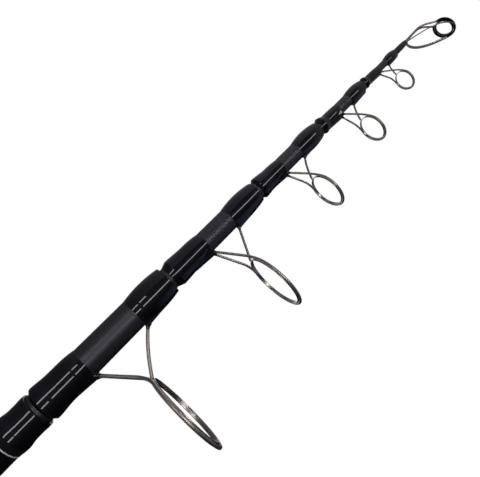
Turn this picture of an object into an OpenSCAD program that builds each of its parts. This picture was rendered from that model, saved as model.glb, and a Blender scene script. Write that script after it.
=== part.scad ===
// Telescopic carp rod, collapsed: a butt with a reel seat, five drawn sections that each
// carry a three-leg wire guide, and a solid tip with a tip-top.
// The rod's axis is X, from the butt cap's end face at X = 0 to the tip. Guides and reel hang along -Z.

/* [Blank] */
// Place of the butt's mouth, from the cap's end face
butt_length = 360; // [340:1:420]
// Loss of radius per millimetre, the same for every tube
taper = 0.0012; // [0.001:0.0001:0.0014]
// Length of tube that stays inside when a section is drawn out
overlap = 50; // [40:1:80]
// Radial clearance of a section that is fully drawn out
slide_gap = 0.05; // [0.03:0.01:0.1]
// Radius of the solid tip where it leaves section 6
tip_r = 1.3; // [1.1:0.05:1.6]
// Wall of the butt at its mouth
butt_wall = 0.66; // [0.5:0.01:1.4]
// Wall of section 2 at its mouth
wall_2 = 1.34; // [0.6:0.01:1.6]
// Wall of section 3 at its mouth
wall_3 = 0.7; // [0.5:0.01:1.2]
// Wall of section 4 at its mouth
wall_4 = 0.78; // [0.5:0.01:1.2]
// Wall of section 5 at its mouth
wall_5 = 1; // [0.5:0.01:1.3]
// Wall of section 6 at its mouth
wall_6 = 0.53; // [0.4:0.01:0.9]

/* [Stubs that show when collapsed] */
// Stub of section 2, from the butt's mouth to its own
stub_2 = 97; // [85:0.5:120]
// Stub of section 3
stub_3 = 81; // [70:0.5:100]
// Stub of section 4
stub_4 = 67; // [58:0.5:85]
// Stub of section 5
stub_5 = 54; // [48:0.5:70]
// Stub of section 6
stub_6 = 45; // [40:0.5:60]
// Stub of the tip, to the end of its whipping
tip_stub = 14; // [12:0.5:20]

/* [Whippings] */
// Gap of bare blank between a mouth and the next section's whipping
neck = 2; // [1:0.1:3]
// Length of the rear whipping of section 2
rear_whip_2 = 31; // [26:0.5:34]
// Length of the rear whipping of section 3
rear_whip_3 = 30; // [25:0.5:32]
// Length of the rear whipping of section 4
rear_whip_4 = 24; // [20:0.5:26]
// Length of the rear whipping of section 5
rear_whip_5 = 21.5; // [18:0.5:24]
// Length of the rear whipping of section 6
rear_whip_6 = 19; // [17:0.5:21]
// Length of the front whipping of section 2
front_whip_2 = 27; // [20:0.5:30]
// Length of the front whipping of section 3
front_whip_3 = 26.5; // [20:0.5:28]
// Length of the front whipping of section 4
front_whip_4 = 23.5; // [18:0.5:26]
// Length of the front whipping of section 5
front_whip_5 = 17.8; // [15:0.1:20]
// Length of the front whipping of section 6
front_whip_6 = 14; // [13.5:0.1:16]
// Build of a front whipping at its fullest
front_build = 1.1; // [0.6:0.05:1.4]
// Build of the stop lip at the rear of each section
lip_build = 1.6; // [1.2:0.05:2]
// Length of the slope up to the lip of section 2
lip_slope_2 = 3; // [1.5:0.1:5]
// Length of the slope up to the lip of section 3
lip_slope_3 = 4; // [1.5:0.1:5]
// Length of the slope up to the lip of section 4
lip_slope_4 = 2; // [1:0.1:3]
// Length of the slope up to the lip of section 5
lip_slope_5 = 1.8; // [1:0.1:3]
// Length of the slope up to the lip of section 6
lip_slope_6 = 1.6; // [1:0.1:3]
// Length over which the lip of section 2 falls to the whipping's build
lip_fall_2 = 14; // [3:0.5:16]
// Length over which the lip of section 3 falls
lip_fall_3 = 14; // [3:0.5:16]
// Length over which the lip of section 4 falls
lip_fall_4 = 3.5; // [2.5:0.1:8]
// Length over which the lip of section 5 falls
lip_fall_5 = 3.2; // [2.5:0.1:8]
// Length over which the lip of section 6 falls
lip_fall_6 = 3; // [2.5:0.1:8]
// Build of section 2's rear whipping in front of its lip
rear_build_2 = 0.85; // [0.4:0.05:1.1]
// Build of section 3's rear whipping
rear_build_3 = 0.9; // [0.4:0.05:1.1]
// Build of section 4's rear whipping
rear_build_4 = 0.65; // [0.4:0.05:1.1]
// Build of section 5's rear whipping
rear_build_5 = 0.4; // [0.3:0.05:1.1]
// Build of section 6's rear whipping
rear_build_6 = 0.5; // [0.3:0.05:1.1]
// Length over which a rear whipping fades into the blank
fade_length = 10; // [6:0.5:14]
// Thread and resin over a guide foot
foot_cover = 0.4; // [0.2:0.05:0.6]
// Thin edge where a whipping starts
edge_build = 0.1; // [0.05:0.01:0.2]
// Length of the collar whipping at the butt's mouth
collar_length = 21; // [16:0.5:28]
// Build of the collar between its two swells
collar_build = 0.22; // [0.15:0.01:0.5]
// Added build of the collar's rear swell
collar_swell = 0.7; // [0.3:0.05:1]
// Place of the rear swell's crest, from the collar's rear edge
collar_swell_at = 5; // [3:0.5:7]
// Half the length of the rear swell
collar_swell_half = 6; // [4:0.5:8]
// Added build of the collar's front swell
collar_lip = 0.22; // [0.1:0.01:0.5]
// Place of the front swell's crest, from the mouth
collar_lip_at = 2.5; // [1.5:0.1:4]
// Half the length of the front swell
collar_lip_half = 4; // [2:0.5:6]
// Length of the bright trim band behind the collar
band_length = 1.3; // [1:0.1:4]
// Thickness of the trim band
band_build = 0.25; // [0.15:0.05:0.5]

/* [Guides] */
// Inside radius of the ring of guide 1
ring_1 = 24; // [18:0.1:26]
// Inside radius of the ring of guide 2
ring_2 = 18.2; // [14:0.1:21]
// Inside radius of the ring of guide 3
ring_3 = 11.6; // [9:0.1:14]
// Inside radius of the ring of guide 4
ring_4 = 9.3; // [7:0.1:11]
// Inside radius of the ring of guide 5
ring_5 = 6.8; // [5.5:0.1:8]
// Height of guide 1's ring centre over the blank
height_1 = 50.4; // [42:0.1:60]
// Height of guide 2's ring centre over the blank
height_2 = 41.2; // [34:0.1:50]
// Height of guide 3's ring centre over the blank
height_3 = 28.2; // [23:0.1:34]
// Height of guide 4's ring centre over the blank
height_4 = 23.2; // [19:0.1:28]
// Height of guide 5's ring centre over the blank
height_5 = 17.6; // [15:0.1:22]
// Wire diameter of guide 1
wire_1 = 2.1; // [1.6:0.05:2.3]
// Wire diameter of guide 2
wire_2 = 1.7; // [1.4:0.05:2]
// Wire diameter of guide 3
wire_3 = 1.5; // [1.2:0.05:1.7]
// Wire diameter of guide 4
wire_4 = 1.35; // [1.1:0.05:1.6]
// Wire diameter of guide 5
wire_5 = 1.15; // [0.9:0.05:1.4]
// Where the legs of guide 1 leave its hoop, in degrees from the rod side
split_1 = 20; // [15:1:30]
// Where the legs of guide 2 leave its hoop
split_2 = 30; // [18:1:35]
// Where the legs of guide 3 leave its hoop
split_3 = 30; // [20:1:45]
// Where the legs of guide 4 leave its hoop
split_4 = 36; // [25:1:50]
// Where the legs of guide 5 leave its hoop
split_5 = 34; // [25:1:55]
// Lead of guide 1's ring over the middle between its feet
lead_1 = 0.2; // [-3:0.1:3]
// Lead of guide 2's ring
lead_2 = 0; // [-3:0.1:3]
// Lead of guide 3's ring
lead_3 = -1; // [-3:0.1:3]
// Lead of guide 4's ring
lead_4 = -1.1; // [-3:0.1:3]
// Lead of guide 5's ring
lead_5 = 1.5; // [-3:0.1:3]
// Length of the bend where a leg turns into the hoop, in wire diameters
leg_bend = 4; // [2:0.1:6]
// Radial wall of a ring liner, in wire diameters
ring_wall = 0.36; // [0.3:0.02:0.5]
// Width of a ring liner, in wire diameters
ring_width = 1.38; // [1.1:0.02:1.6]
// How far a rear foot lies from the guide's middle where its leg leaves the whipping, in wire diameters
foot_apart = 1.1; // [0.6:0.05:1.3]
// Bow of guide 1's front leg, towards the rear legs
bow_1 = 1; // [0:0.1:2]
// Bow of guide 2's front leg
bow_2 = 0; // [0:0.1:2]
// Bow of guide 3's front leg
bow_3 = 0.7; // [0:0.1:1.5]
// Bow of guide 4's front leg
bow_4 = 0.5; // [0:0.1:1]
// Bow of guide 5's front leg
bow_5 = 0.4; // [0:0.1:1]
// Length of a rear foot under its whipping
rear_foot = 14; // [10:0.5:16]
// Length of a front foot under its whipping
front_foot = 11; // [8:0.5:12]
// Radius of a foot at its ground end
foot_end_r = 0.3; // [0.2:0.05:0.4]
// How far inside a whipping's edge the wire leaves it
exit_in = 0.8; // [0.5:0.1:1.5]
// Length of the leg that a whipping is cut clear of
leg_root = 4; // [3:0.5:6]

/* [Tip-top] */
// Inside radius of the tip ring
tip_ring_r = 5.9; // [4:0.1:7]
// Radial wall of the tip ring
tip_ring_wall = 1.4; // [1:0.1:2]
// Width of the tip ring
tip_ring_width = 2.6; // [1.8:0.1:3.2]
// Tilt of the tip ring from square to the rod
tip_ring_tilt = 12; // [0:1:25]
// Ring centre ahead of the whipping's end
tip_ring_ahead = 35.5; // [30:0.5:42]
// Ring centre below the rod's axis
tip_ring_drop = 14.3; // [12:0.1:18]
// Where the upper wires leave the tip hoop, in degrees from its top
tip_split = 18; // [14:1:30]
// Where the upper wires part, ahead of the whipping's end
tip_part = 23; // [16:0.5:26]
// Height of the upper wires where they part
tip_rise = 1; // [0.5:0.1:2]
// Length of the bend on each side of where the upper wires part
tip_bend = 6; // [4:0.5:8]
// Where the side legs meet the tip hoop, in degrees from its top
tip_leg_split = 140; // [125:1:150]
// How far the side legs leave the tube along the rod, to the first pull of their curve
tip_leg_reach = 5; // [4:0.5:8]
// How far the side legs leave the tube sideways
tip_leg_spread = 9.5; // [7:0.5:12]
// How far the side legs leave the tube downwards
tip_leg_drop = 5.8; // [4:0.1:7]
// Second pull of the side legs' curve, back along the hoop's tangent
tip_leg_run = 13.1; // [10:0.1:15]
// Second pull of the side legs' curve, back along the rod
tip_leg_back = 7; // [4:0.5:9]
// Wire diameter of the tip frame
tip_wire = 1.5; // [1.1:0.05:1.6]
// Wall of the tip tube
tip_tube_wall = 0.6; // [0.5:0.05:0.7]
// Length of the tip tube
tip_tube_length = 14; // [10:0.5:16]
// Length of tip tube that shows in front of the whipping
tip_nose = 1; // [0.5:0.1:2]
// Length of the solder cone that closes the tip tube
tip_cone = 2; // [1:0.1:3]
// Build of the tip whipping at its fullest
tip_build = 0.45; // [0.3:0.05:0.6]

/* [Handle] */
// Length of the rear grip
rear_grip_length = 98; // [70:1:110]
// Radius of the rear grip
rear_grip_r = 13.5; // [13.2:0.1:16]
// Rounding of the grips' ends
grip_round = 2; // [1:0.1:2.5]
// Length of the fore grip
fore_grip_length = 46; // [30:1:60]
// Radius of the fore grip
fore_grip_r = 14.5; // [13.5:0.1:17]
// Length of a winding check
check_length = 2.5; // [2:0.1:5]
// Length of the tapered check in front of the fore grip
nose_check_length = 5; // [3:0.5:8]
// Wall of the tapered check at its front edge
nose_check_wall = 0.6; // [0.4:0.1:1.2]
// Rounding of metal and moulded edges
edge_round = 0.6; // [0.3:0.1:0.8]

/* [Reel seat] */
// Length of the reel seat
seat_length = 114; // [106:1:125]
// Number of arbor rings under the seat
arbor_count = 3; // [2:1:4]
// Length of an arbor ring
arbor_length = 20; // [12:1:24]
// Thickness of the arbor rings
arbor_wall = 0.8; // [0.5:0.1:1.5]
// Wall of the seat's tube
seat_wall = 1.3; // [1:0.1:2]
// Length of the flange at the seat's rear
flange_length = 4; // [3:0.5:6]
// Height of the pocket for a reel foot
pocket_height = 5.5; // [5:0.1:7]
// How much smaller than the seat the pocket's radius is
pocket_narrow = 1; // [0.5:0.1:1.5]
// Depth of the pocket for a reel foot
pocket_depth = 14; // [12:0.5:16]
// Wall of the hoods
hood_wall = 1.5; // [1:0.1:2.2]
// Length of a hood behind its pocket
hood_back = 7; // [5:0.5:9]
// How far a hood's shell comes in towards its closed end
hood_slope = 3.7; // [2.5:0.1:4.5]
// Travel of the sliding hood
hood_travel = 16; // [10:0.5:18]
// Length of the lock nut
nut_length = 13; // [10:0.5:16]
// Wall of the lock nut
nut_wall = 3.2; // [2.5:0.1:4]
// Number of finger grooves round the lock nut
nut_grooves = 14; // [8:1:18]
// Radius of a finger groove
groove_r = 1.6; // [1:0.1:2]
// Rounding of the lock nut's edges
nut_round = 1; // [0.5:0.1:1.5]
// Width of the key that stops the sliding hood from turning
key_width = 2.6; // [2:0.1:4]
// Depth of the slot that the key runs in
slot_depth = 0.8; // [0.5:0.1:0.9]

/* [Butt cap] */
// Length of the cap's rubber end
rubber_length = 8; // [5:0.5:12]
// Rounding of the rubber's outer edge
rubber_round = 3; // [2:0.1:4]
// Rise of the rubber's end towards its rounded edge
rubber_rise = 1.2; // [0.8:0.1:2]
// How far the rubber stands out from the ferrule
rubber_proud = 0.3; // [0:0.05:0.35]
// Length of the cap plug's flange
cap_flange = 3; // [2:0.5:5]
// Length of the cap plug's thread
cap_thread = 11; // [9:0.5:16]
// Thickness of the cushion that the sections rest on
cushion_length = 3; // [2:0.5:5]
// How far the cushion stays inside the plug
cushion_in = 0.4; // [0.2:0.1:1]
// Length of the ferrule that the cap screws into
ferrule_length = 31; // [26:0.5:40]
// Wall of the ferrule
ferrule_wall = 1.9; // [1.4:0.1:2.3]
// Thickness of the cap's seal ring
seal_thickness = 1.2; // [1:0.1:1.5]
// Room on each side of the seal ring in its groove
seal_side = 0.2; // [0.1:0.05:0.4]
// Gap between the cap's thread and the blank, inside the ferrule
ferrule_land = 1.5; // [1:0.1:1.7]

/* [Fits] */
// Glued gap between a piece and the blank
bond = 0.02; // [0.01:0.01:0.04]
// Gap between pieces that move on each other
run_gap = 0.3; // [0.2:0.05:0.4]
// Room for section 2 to pass through the ferrule when it is drawn out backwards
draw_gap = 0.8; // [0.5:0.1:1]
// Gap between wires, rings and the blank they lie on
wire_gap = 0.06; // [0.04:0.01:0.1]

/* [Hidden] */
$fn = 64;

carbon = [0.16, 0.16, 0.17];
lacquer = [0.03, 0.03, 0.05];
gunmetal = [0.33, 0.31, 0.3];
silver = [0.75, 0.75, 0.76];
foam = [0.06, 0.06, 0.06];
moulding = [0.09, 0.09, 0.1];

// Sections are counted from 1, the butt, to 7, the tip. Index 0 and 1 are unused where a list starts at 2.
stubs = [0, 0, stub_2, stub_3, stub_4, stub_5, stub_6, tip_stub];
walls = [0, butt_wall, wall_2, wall_3, wall_4, wall_5, wall_6];
rear_whips = [0, 0, rear_whip_2, rear_whip_3, rear_whip_4, rear_whip_5, rear_whip_6];
rear_builds = [0, 0, rear_build_2, rear_build_3, rear_build_4, rear_build_5, rear_build_6];
lip_slopes = [0, 0, lip_slope_2, lip_slope_3, lip_slope_4, lip_slope_5, lip_slope_6];
lip_falls = [0, 0, lip_fall_2, lip_fall_3, lip_fall_4, lip_fall_5, lip_fall_6];
front_whips = [0, 0, front_whip_2, front_whip_3, front_whip_4, front_whip_5, front_whip_6];
rings = [0, 0, ring_1, ring_2, ring_3, ring_4, ring_5];
heights = [0, 0, height_1, height_2, height_3, height_4, height_5];
wires = [0, 0, wire_1, wire_2, wire_3, wire_4, wire_5] / 2;
splits = [0, 0, split_1, split_2, split_3, split_4, split_5];
leads = [0, 0, lead_1, lead_2, lead_3, lead_4, lead_5];
bows = [0, 0, bow_1, bow_2, bow_3, bow_4, bow_5];

// A joint between two straight lengths of wire is a bead a little fuller than the wire.
bead = 1.04;
// Straight lengths in a bend, and cones in a whipping's profile
bend_steps = 5;
bow_steps = 3;
upper_steps = 4;
leg_steps = 7;
steps = 14;
// How far a cutting solid runs past what it cuts
past = 1;
// Power of the curve by which the tip whipping falls to its front edge
tip_power = 4;

// Stations of the butt cap and of the sections' rear ends
seam_x = rubber_length + cap_flange;
thread_end = seam_x + cap_thread;
cushion_end = thread_end + cushion_length;
nest_x = cushion_end + run_gap;
ferrule_x = seam_x + run_gap;
ferrule_end = ferrule_x + ferrule_length;
blank_x = thread_end + ferrule_land;

// Place of a section's mouth, and how far a section is drawn out of the one behind it
function mouth(k) = k == 1 ? butt_length : mouth(k - 1) + stubs[k];
function travel(k) = mouth(k - 1) - nest_x - overlap;
// Bore and outside radius at a section's mouth: a tube fits the next one when that is fully drawn out
function bore_at_mouth(k) = radius(k + 1, mouth(k)) + taper * travel(k + 1) + slide_gap;
function radius(k, x) =
    k == 7 ? tip_r + taper * (mouth(6) - x)
           : bore_at_mouth(k) + walls[k] + taper * (mouth(k) - x);
function bore(k, x) = bore_at_mouth(k) + taper * (mouth(k) - x);

// Stations of the handle
rear_grip_x = ferrule_end + run_gap;
rear_check_x = rear_grip_x + rear_grip_length;
seat_x = rear_check_x + check_length;
seat_end = seat_x + seat_length;
fore_grip_x = seat_end + run_gap;
nose_check_x = fore_grip_x + fore_grip_length;
collar_x = butt_length - collar_length;
band_x = collar_x - band_length;

// Reel seat: the tube over the arbors, and a pocket that lies off the axis towards the reel
arbor_r = radius(1, seat_x) + arbor_wall;
seat_r = arbor_r + bond + seat_wall;
pocket_shift = pocket_height + pocket_narrow;
pocket_r = seat_r - pocket_narrow;
hood_r = pocket_r + hood_wall;
sleeve_r = seat_r + run_gap + hood_wall;
hood_length = pocket_depth + hood_back;
fixed_hood_x = seat_end - hood_length;
nut_x = seat_x + flange_length + run_gap;
hood_x = nut_x + nut_length + run_gap;
slot_length = hood_x + hood_length + hood_travel - seat_x - flange_length;

// Cap: the thread is wide enough for section 2 to be drawn out backwards
thread_r = radius(2, nest_x) + draw_gap;
plug_r = thread_r - run_gap;
ferrule_r = radius(1, blank_x) + bond + ferrule_wall;
seal_x = seam_x + run_gap + seal_side + seal_thickness / 2;

// Basic shapes
module turned(profile) { rotate([0, 90, 0]) rotate_extrude() polygon(profile); }

module cone_x(x0, x1, r0, r1) {
    translate([x0, 0, 0]) rotate([0, 90, 0]) cylinder(h = x1 - x0, r1 = r0, r2 = r1);
}

module blank_solid(k, x0, x1, grow) { cone_x(x0, x1, radius(k, x0) + grow, radius(k, x1) + grow); }

module bore_solid(k, x0, x1) { cone_x(x0, x1, bore(k, x0), bore(k, x1)); }

module between(a, b, r_a, r_b) {
    v = b - a;
    translate(a) rotate([0, acos(v.z / norm(v)), atan2(v.y, v.x)]) cylinder(h = norm(v), r1 = r_a, r2 = r_b);
}

module wire(points, r) {
    for (i = [0 : len(points) - 2]) between(points[i], points[i + 1], r, r);
    for (p = points) translate(p) sphere(r * bead);
}

// A ring along X with rounded outer edges
module band_ring(x0, length, r_in, r_out, round_r) {
    arc = [for (a = [0 : 15 : 90]) round_r * [cos(a), sin(a)]];
    turned(concat(
        [[r_in, x0], [r_in, x0 + length]],
        [for (i = [6 : -1 : 0]) [r_out - round_r + arc[i].x, x0 + length - round_r + arc[i].y]],
        [for (i = [0 : 6]) [r_out - round_r + arc[i].x, x0 + round_r - arc[i].y]]
    ));
}

// Build of a whipping: smooth swells of a raised cosine, and a parabola over the whole length
function swell(x, centre, half) = abs(x - centre) < half ? (1 + cos(180 * (x - centre) / half)) / 2 : 0;
function front_thickness(u) = edge_build + front_build * 4 * u * (1 - u);
function rear_thickness(k, x) =
    let (fade = max(0, 1 - (rear_whips[k] - x) / fade_length))
    edge_build + (lip_build - rear_builds[k]) * swell(x, lip_slopes[k], lip_falls[k])
        + rear_builds[k] * (1 - fade * fade);
function collar_thickness(x) =
    collar_build + collar_swell * swell(x, collar_swell_at, collar_swell_half)
        + collar_lip * swell(x, collar_length - collar_lip_at, collar_lip_half);

// A whipping is turned on the cone of its blank, from pairs of a place along it and its thickness there
module whipping_body(k, x0, pairs) {
    x1 = x0 + pairs[len(pairs) - 1].x;
    turned(concat(
        [for (p = pairs) [radius(k, x0 + p.x) + p.y, x0 + p.x]],
        [[radius(k, x1) + bond, x1], [radius(k, x0) + bond, x0]]
    ));
}

// Butt
module butt_blank() {
    color(carbon) difference() {
        blank_solid(1, blank_x, butt_length, 0);
        bore_solid(1, blank_x - past, butt_length + past);
    }
}

module butt_collar_whipping() {
    color(lacquer) whipping_body(1, collar_x,
        [for (i = [0 : steps]) let (x = collar_length * i / steps) [x, collar_thickness(x)]]);
}

module butt_trim_band() {
    color(silver) whipping_body(1, band_x, [[0, band_build], [band_length - bond, band_build]]);
}

module butt_ferrule() {
    color(silver) difference() {
        band_ring(ferrule_x, ferrule_length, thread_r, ferrule_r, edge_round);
        blank_solid(1, blank_x - bond, ferrule_end + past, bond);
    }
}

module rear_grip() {
    color(foam) difference() {
        band_ring(rear_grip_x, rear_grip_length, radius(1, rear_check_x) / 2, rear_grip_r, grip_round);
        blank_solid(1, rear_grip_x - past, rear_check_x + past, bond);
    }
}

module rear_grip_check() {
    color(silver) difference() {
        band_ring(rear_check_x + bond, check_length - 2 * bond, radius(1, seat_x) / 2, seat_r, edge_round);
        blank_solid(1, rear_check_x - past, seat_x + past, bond);
    }
}

module fore_grip() {
    color(foam) difference() {
        band_ring(fore_grip_x, fore_grip_length, radius(1, nose_check_x) / 2, fore_grip_r, grip_round);
        blank_solid(1, fore_grip_x - past, nose_check_x + past, bond);
    }
}

module fore_grip_check() {
    x1 = nose_check_x + nose_check_length;
    color(silver) difference() {
        cone_x(nose_check_x + bond, x1, fore_grip_r - grip_round, radius(1, x1) + nose_check_wall);
        blank_solid(1, nose_check_x - past, x1 + past, bond);
    }
}

// Reel seat
module off_axis(x0, length, r0, r1) { translate([0, 0, -pocket_shift]) cone_x(x0, x0 + length, r0, r1); }

// A hood that opens backwards: a sleeve round the seat and a shell off its axis, over a pocket
module hood_shell(x0) {
    cone_x(x0, x0 + hood_length, sleeve_r, sleeve_r);
    off_axis(x0, pocket_depth + hood_wall, hood_r, hood_r);
    off_axis(x0 + pocket_depth + hood_wall, hood_back - hood_wall, hood_r, hood_r - hood_slope);
}

module hood_pocket(x0) { off_axis(x0 - past, pocket_depth + past, pocket_r, pocket_r); }

module reel_seat_body() {
    color(moulding) difference() {
        union() {
            difference() {
                hood_shell(fixed_hood_x);
                hood_pocket(fixed_hood_x);
            }
            cone_x(seat_x, seat_end, seat_r, seat_r);
            band_ring(seat_x, flange_length, seat_r / 2, sleeve_r, edge_round);
        }
        cone_x(seat_x - past, seat_end + past, arbor_r + bond, arbor_r + bond);
        translate([seat_x + flange_length, -key_width / 2 - run_gap, seat_r - slot_depth])
            cube([slot_length, key_width + 2 * run_gap, seat_wall]);
    }
}

module reel_seat_arbors() {
    pitch = (seat_length - arbor_length) / (arbor_count - 1);
    color(foam) for (i = [0 : arbor_count - 1]) let (x = seat_x + i * pitch) difference() {
        cone_x(x, x + arbor_length, arbor_r, arbor_r);
        blank_solid(1, x - past, x + arbor_length + past, bond);
    }
}

module sliding_hood() {
    bore_r = seat_r + run_gap;
    color(moulding) {
        difference() {
            translate([2 * hood_x + hood_length, 0, 0]) mirror([1, 0, 0]) hood_shell(hood_x);
            translate([2 * hood_x + hood_length, 0, 0]) mirror([1, 0, 0]) hood_pocket(hood_x);
            cone_x(hood_x - past, hood_x + hood_length + past, bore_r, bore_r);
        }
        translate([hood_x, -key_width / 2, seat_r - slot_depth + run_gap])
            cube([hood_back, key_width, slot_depth + hood_wall]);
    }
}

module lock_nut() {
    nut_r = seat_r + run_gap + nut_wall;
    color(silver) difference() {
        band_ring(nut_x, nut_length, seat_r + run_gap, nut_r, nut_round);
        for (i = [0 : nut_grooves - 1]) rotate([360 * i / nut_grooves, 0, 0])
            translate([0, 0, nut_r + groove_r / 2])
                cone_x(nut_x - past, nut_x + nut_length + past, groove_r, groove_r);
    }
}

// Butt cap
module cap_plug() {
    waist_r = plug_r - seal_thickness;
    color(silver) {
        band_ring(rubber_length + bond, cap_flange - bond, plug_r / 2, ferrule_r, edge_round);
        cone_x(rubber_length + bond, thread_end, waist_r, waist_r);
        cone_x(seal_x + seal_thickness / 2 + seal_side, thread_end, plug_r, plug_r);
    }
}

module cap_rubber() {
    r = ferrule_r + rubber_proud;
    color(foam) turned([
        [0, 0], [r - rubber_round, 0],
        for (a = [10 : 10 : 90]) [r - rubber_round * (1 - sin(a)), rubber_rise * (1 - cos(a))],
        [r, rubber_length - edge_round], [r - edge_round, rubber_length], [0, rubber_length]
    ]);
}

module cap_cushion() {
    color(foam) cone_x(thread_end + bond, cushion_end, plug_r - cushion_in, plug_r - cushion_in);
}

module cap_seal_ring() {
    color(foam) translate([seal_x, 0, 0]) rotate([0, 90, 0]) rotate_extrude()
        translate([plug_r - seal_thickness / 2 + bond, 0]) circle(seal_thickness / 2);
}

// Drawn sections
module section_blank(k) {
    color(carbon) difference() {
        blank_solid(k, nest_x, mouth(k), 0);
        bore_solid(k, nest_x - past, mouth(k) + past);
    }
}

// Stations of a section's whippings, guide wires and ring
function rear_x(k) = mouth(k - 1) + neck;
function rear_end(k) = rear_x(k) + rear_whips[k];
function front_x(k) = mouth(k) - front_whips[k];
function rear_exit(k) = rear_end(k) - exit_in;
function front_exit(k) = front_x(k) + exit_in;
function ring_x(k) = (rear_exit(k) + front_exit(k)) / 2 + leads[k];
function ring_out(k) = rings[k] + ring_wall * 2 * wires[k];
function hoop_r(k) = ring_out(k) + wire_gap + wires[k] * bead;
function ring_centre(k) = [ring_x(k), 0, -radius(k, ring_x(k)) - heights[k]];
function foot_side(k) = foot_apart * 2 * wires[k];

// A point beside the blank's guide side: a wire of radius r lies on the blank there, off the middle by y
function seat_point(k, x, y, r) =
    let (d = radius(k, x) + wire_gap + r * bead) [x, y, -sqrt(d * d - y * y)];

// A leg meets the hoop in a bend: it would cross the hoop's tangent in a corner, on side s, and the
// bend runs from as far before that corner to as far behind it, where it has become the hoop
function bend(k) = leg_bend * 2 * wires[k];
function bend_angle(k) = atan(bend(k) / hoop_r(k));
function hoop_point(k, s, angle, r) = ring_centre(k) + r * [0, s * sin(angle), cos(angle)];
function corner(k, s) = hoop_point(k, s, splits[k], hoop_r(k) / cos(bend_angle(k)));
function rear_seat(k, s) = seat_point(k, rear_exit(k), s * foot_side(k), wires[k]);
function front_seat(k) = seat_point(k, front_exit(k), 0, wires[k]);
function front_leg_end(k) = hoop_point(k, 0, 0, hoop_r(k));

// Points of a bend from a to b that touches the lines to its corner c
function bend_points(a, c, b, n) =
    [for (i = [0 : n]) let (u = i / n, w = 1 - u) w * w * a + 2 * u * w * c + u * u * b];

function rear_leg_points(k, s) =
    let (c = corner(k, s),
         v = rear_seat(k, s) - c,
         a = c + v * bend(k) / norm(v),
         b = hoop_point(k, s, splits[k] + bend_angle(k), hoop_r(k)))
    concat([rear_seat(k, s)], bend_points(a, c, b, bend_steps));

// The front leg bows towards the rear legs
function front_leg_points(k) =
    let (a = front_seat(k),
         b = front_leg_end(k),
         v = (b - a) / norm(b - a))
    bend_points(a, (a + b) / 2 + 2 * bows[k] * [v.z, 0, -v.x], b, bow_steps);

// A foot is the wire ground to a taper
module foot(k, seat, x_end, grow) {
    between(seat, seat_point(k, x_end, seat.y, foot_end_r), wires[k] + grow, foot_end_r + grow);
}

// Room for a foot in its whipping, with the root of the leg that rises from it
module foot_room(k, seat, x_end, target) {
    v = target - seat;
    r = wires[k] + bond;
    foot(k, seat, x_end, bond);
    translate(seat) sphere(wires[k] * bead + bond);
    between(seat, seat + v * leg_root / norm(v), r, r);
}

// A whipping is full where it covers a foot, up to a little past the foot's end
module section_rear_whipping(k) {
    slope = lip_slopes[k];
    foot_end = rear_exit(k) - rear_foot;
    color(lacquer) difference() {
        union() {
            whipping_body(k, rear_x(k), concat([[0, edge_build]], [for (i = [0 : steps])
                let (x = slope + (rear_whips[k] - slope) * i / steps) [x, rear_thickness(k, x)]]));
            for (s = [-1, 1]) foot(k, rear_seat(k, s), foot_end - past, foot_cover);
        }
        blank_solid(k, rear_x(k) - past, rear_end(k) + past, bond);
        for (s = [-1, 1]) foot_room(k, rear_seat(k, s), foot_end, corner(k, s));
    }
}

module section_front_whipping(k) {
    foot_end = front_exit(k) + front_foot;
    color(lacquer) difference() {
        union() {
            whipping_body(k, front_x(k),
                [for (i = [0 : steps]) let (u = i / steps) [front_whips[k] * u, front_thickness(u)]]);
            foot(k, front_seat(k), foot_end + past, foot_cover);
        }
        blank_solid(k, front_x(k) - past, mouth(k) + past, bond);
        foot_room(k, front_seat(k), foot_end, front_leg_points(k)[1]);
    }
}

// The rear legs and the hoop are one bent wire
module guide_frame(k) {
    open_angle = splits[k] + bend_angle(k);
    color(gunmetal) {
        for (s = [-1, 1]) {
            foot(k, rear_seat(k, s), rear_exit(k) - rear_foot, 0);
            wire(rear_leg_points(k, s), wires[k]);
        }
        translate(ring_centre(k)) rotate([0, -90, 0]) rotate([0, 0, open_angle])
            rotate_extrude(angle = 360 - 2 * open_angle) translate([hoop_r(k), 0]) circle(wires[k]);
    }
}

module guide_front_leg(k) {
    color(gunmetal) {
        foot(k, front_seat(k), front_exit(k) + front_foot, 0);
        wire(front_leg_points(k), wires[k]);
    }
}

module guide_ring(k) {
    width = ring_width * 2 * wires[k];
    color(gunmetal) translate(ring_centre(k))
        band_ring(-width / 2, width, rings[k], ring_out(k), ring_wall * wires[k]);
}

// Tip
tip_end = mouth(6) + tip_stub;
nose_x = tip_end + tip_nose;
tube_x = nose_x - tip_tube_length;
tube_r = radius(7, tube_x) + bond + tip_tube_wall;
tip_ring_out = tip_ring_r + tip_ring_wall;
tip_hoop_r = tip_ring_out + wire_gap + tip_wire / 2 * bead;
tip_centre = [tip_end + tip_ring_ahead, 0, -tip_ring_drop];
tip_pair = tip_wire / 2 * bead + wire_gap;

function tip_hoop_point(a) =
    tip_centre + tip_hoop_r * [-cos(a) * sin(tip_ring_tilt), sin(a), cos(a) * cos(tip_ring_tilt)];

// An upper wire runs beside its twin, then turns in a bend to the hoop, on side s
function upper_wire_points(s) =
    let (a = [nose_x, s * tip_pair, tip_wire / 4],
         c = [tip_end + tip_part, s * tip_pair, tip_rise],
         b = tip_hoop_point(s * tip_split),
         before = c - (c - a) * tip_bend / norm(c - a),
         behind = c + (b - c) * tip_bend / norm(b - c))
    concat([a], bend_points(before, c, behind, upper_steps), [b]);

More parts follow.
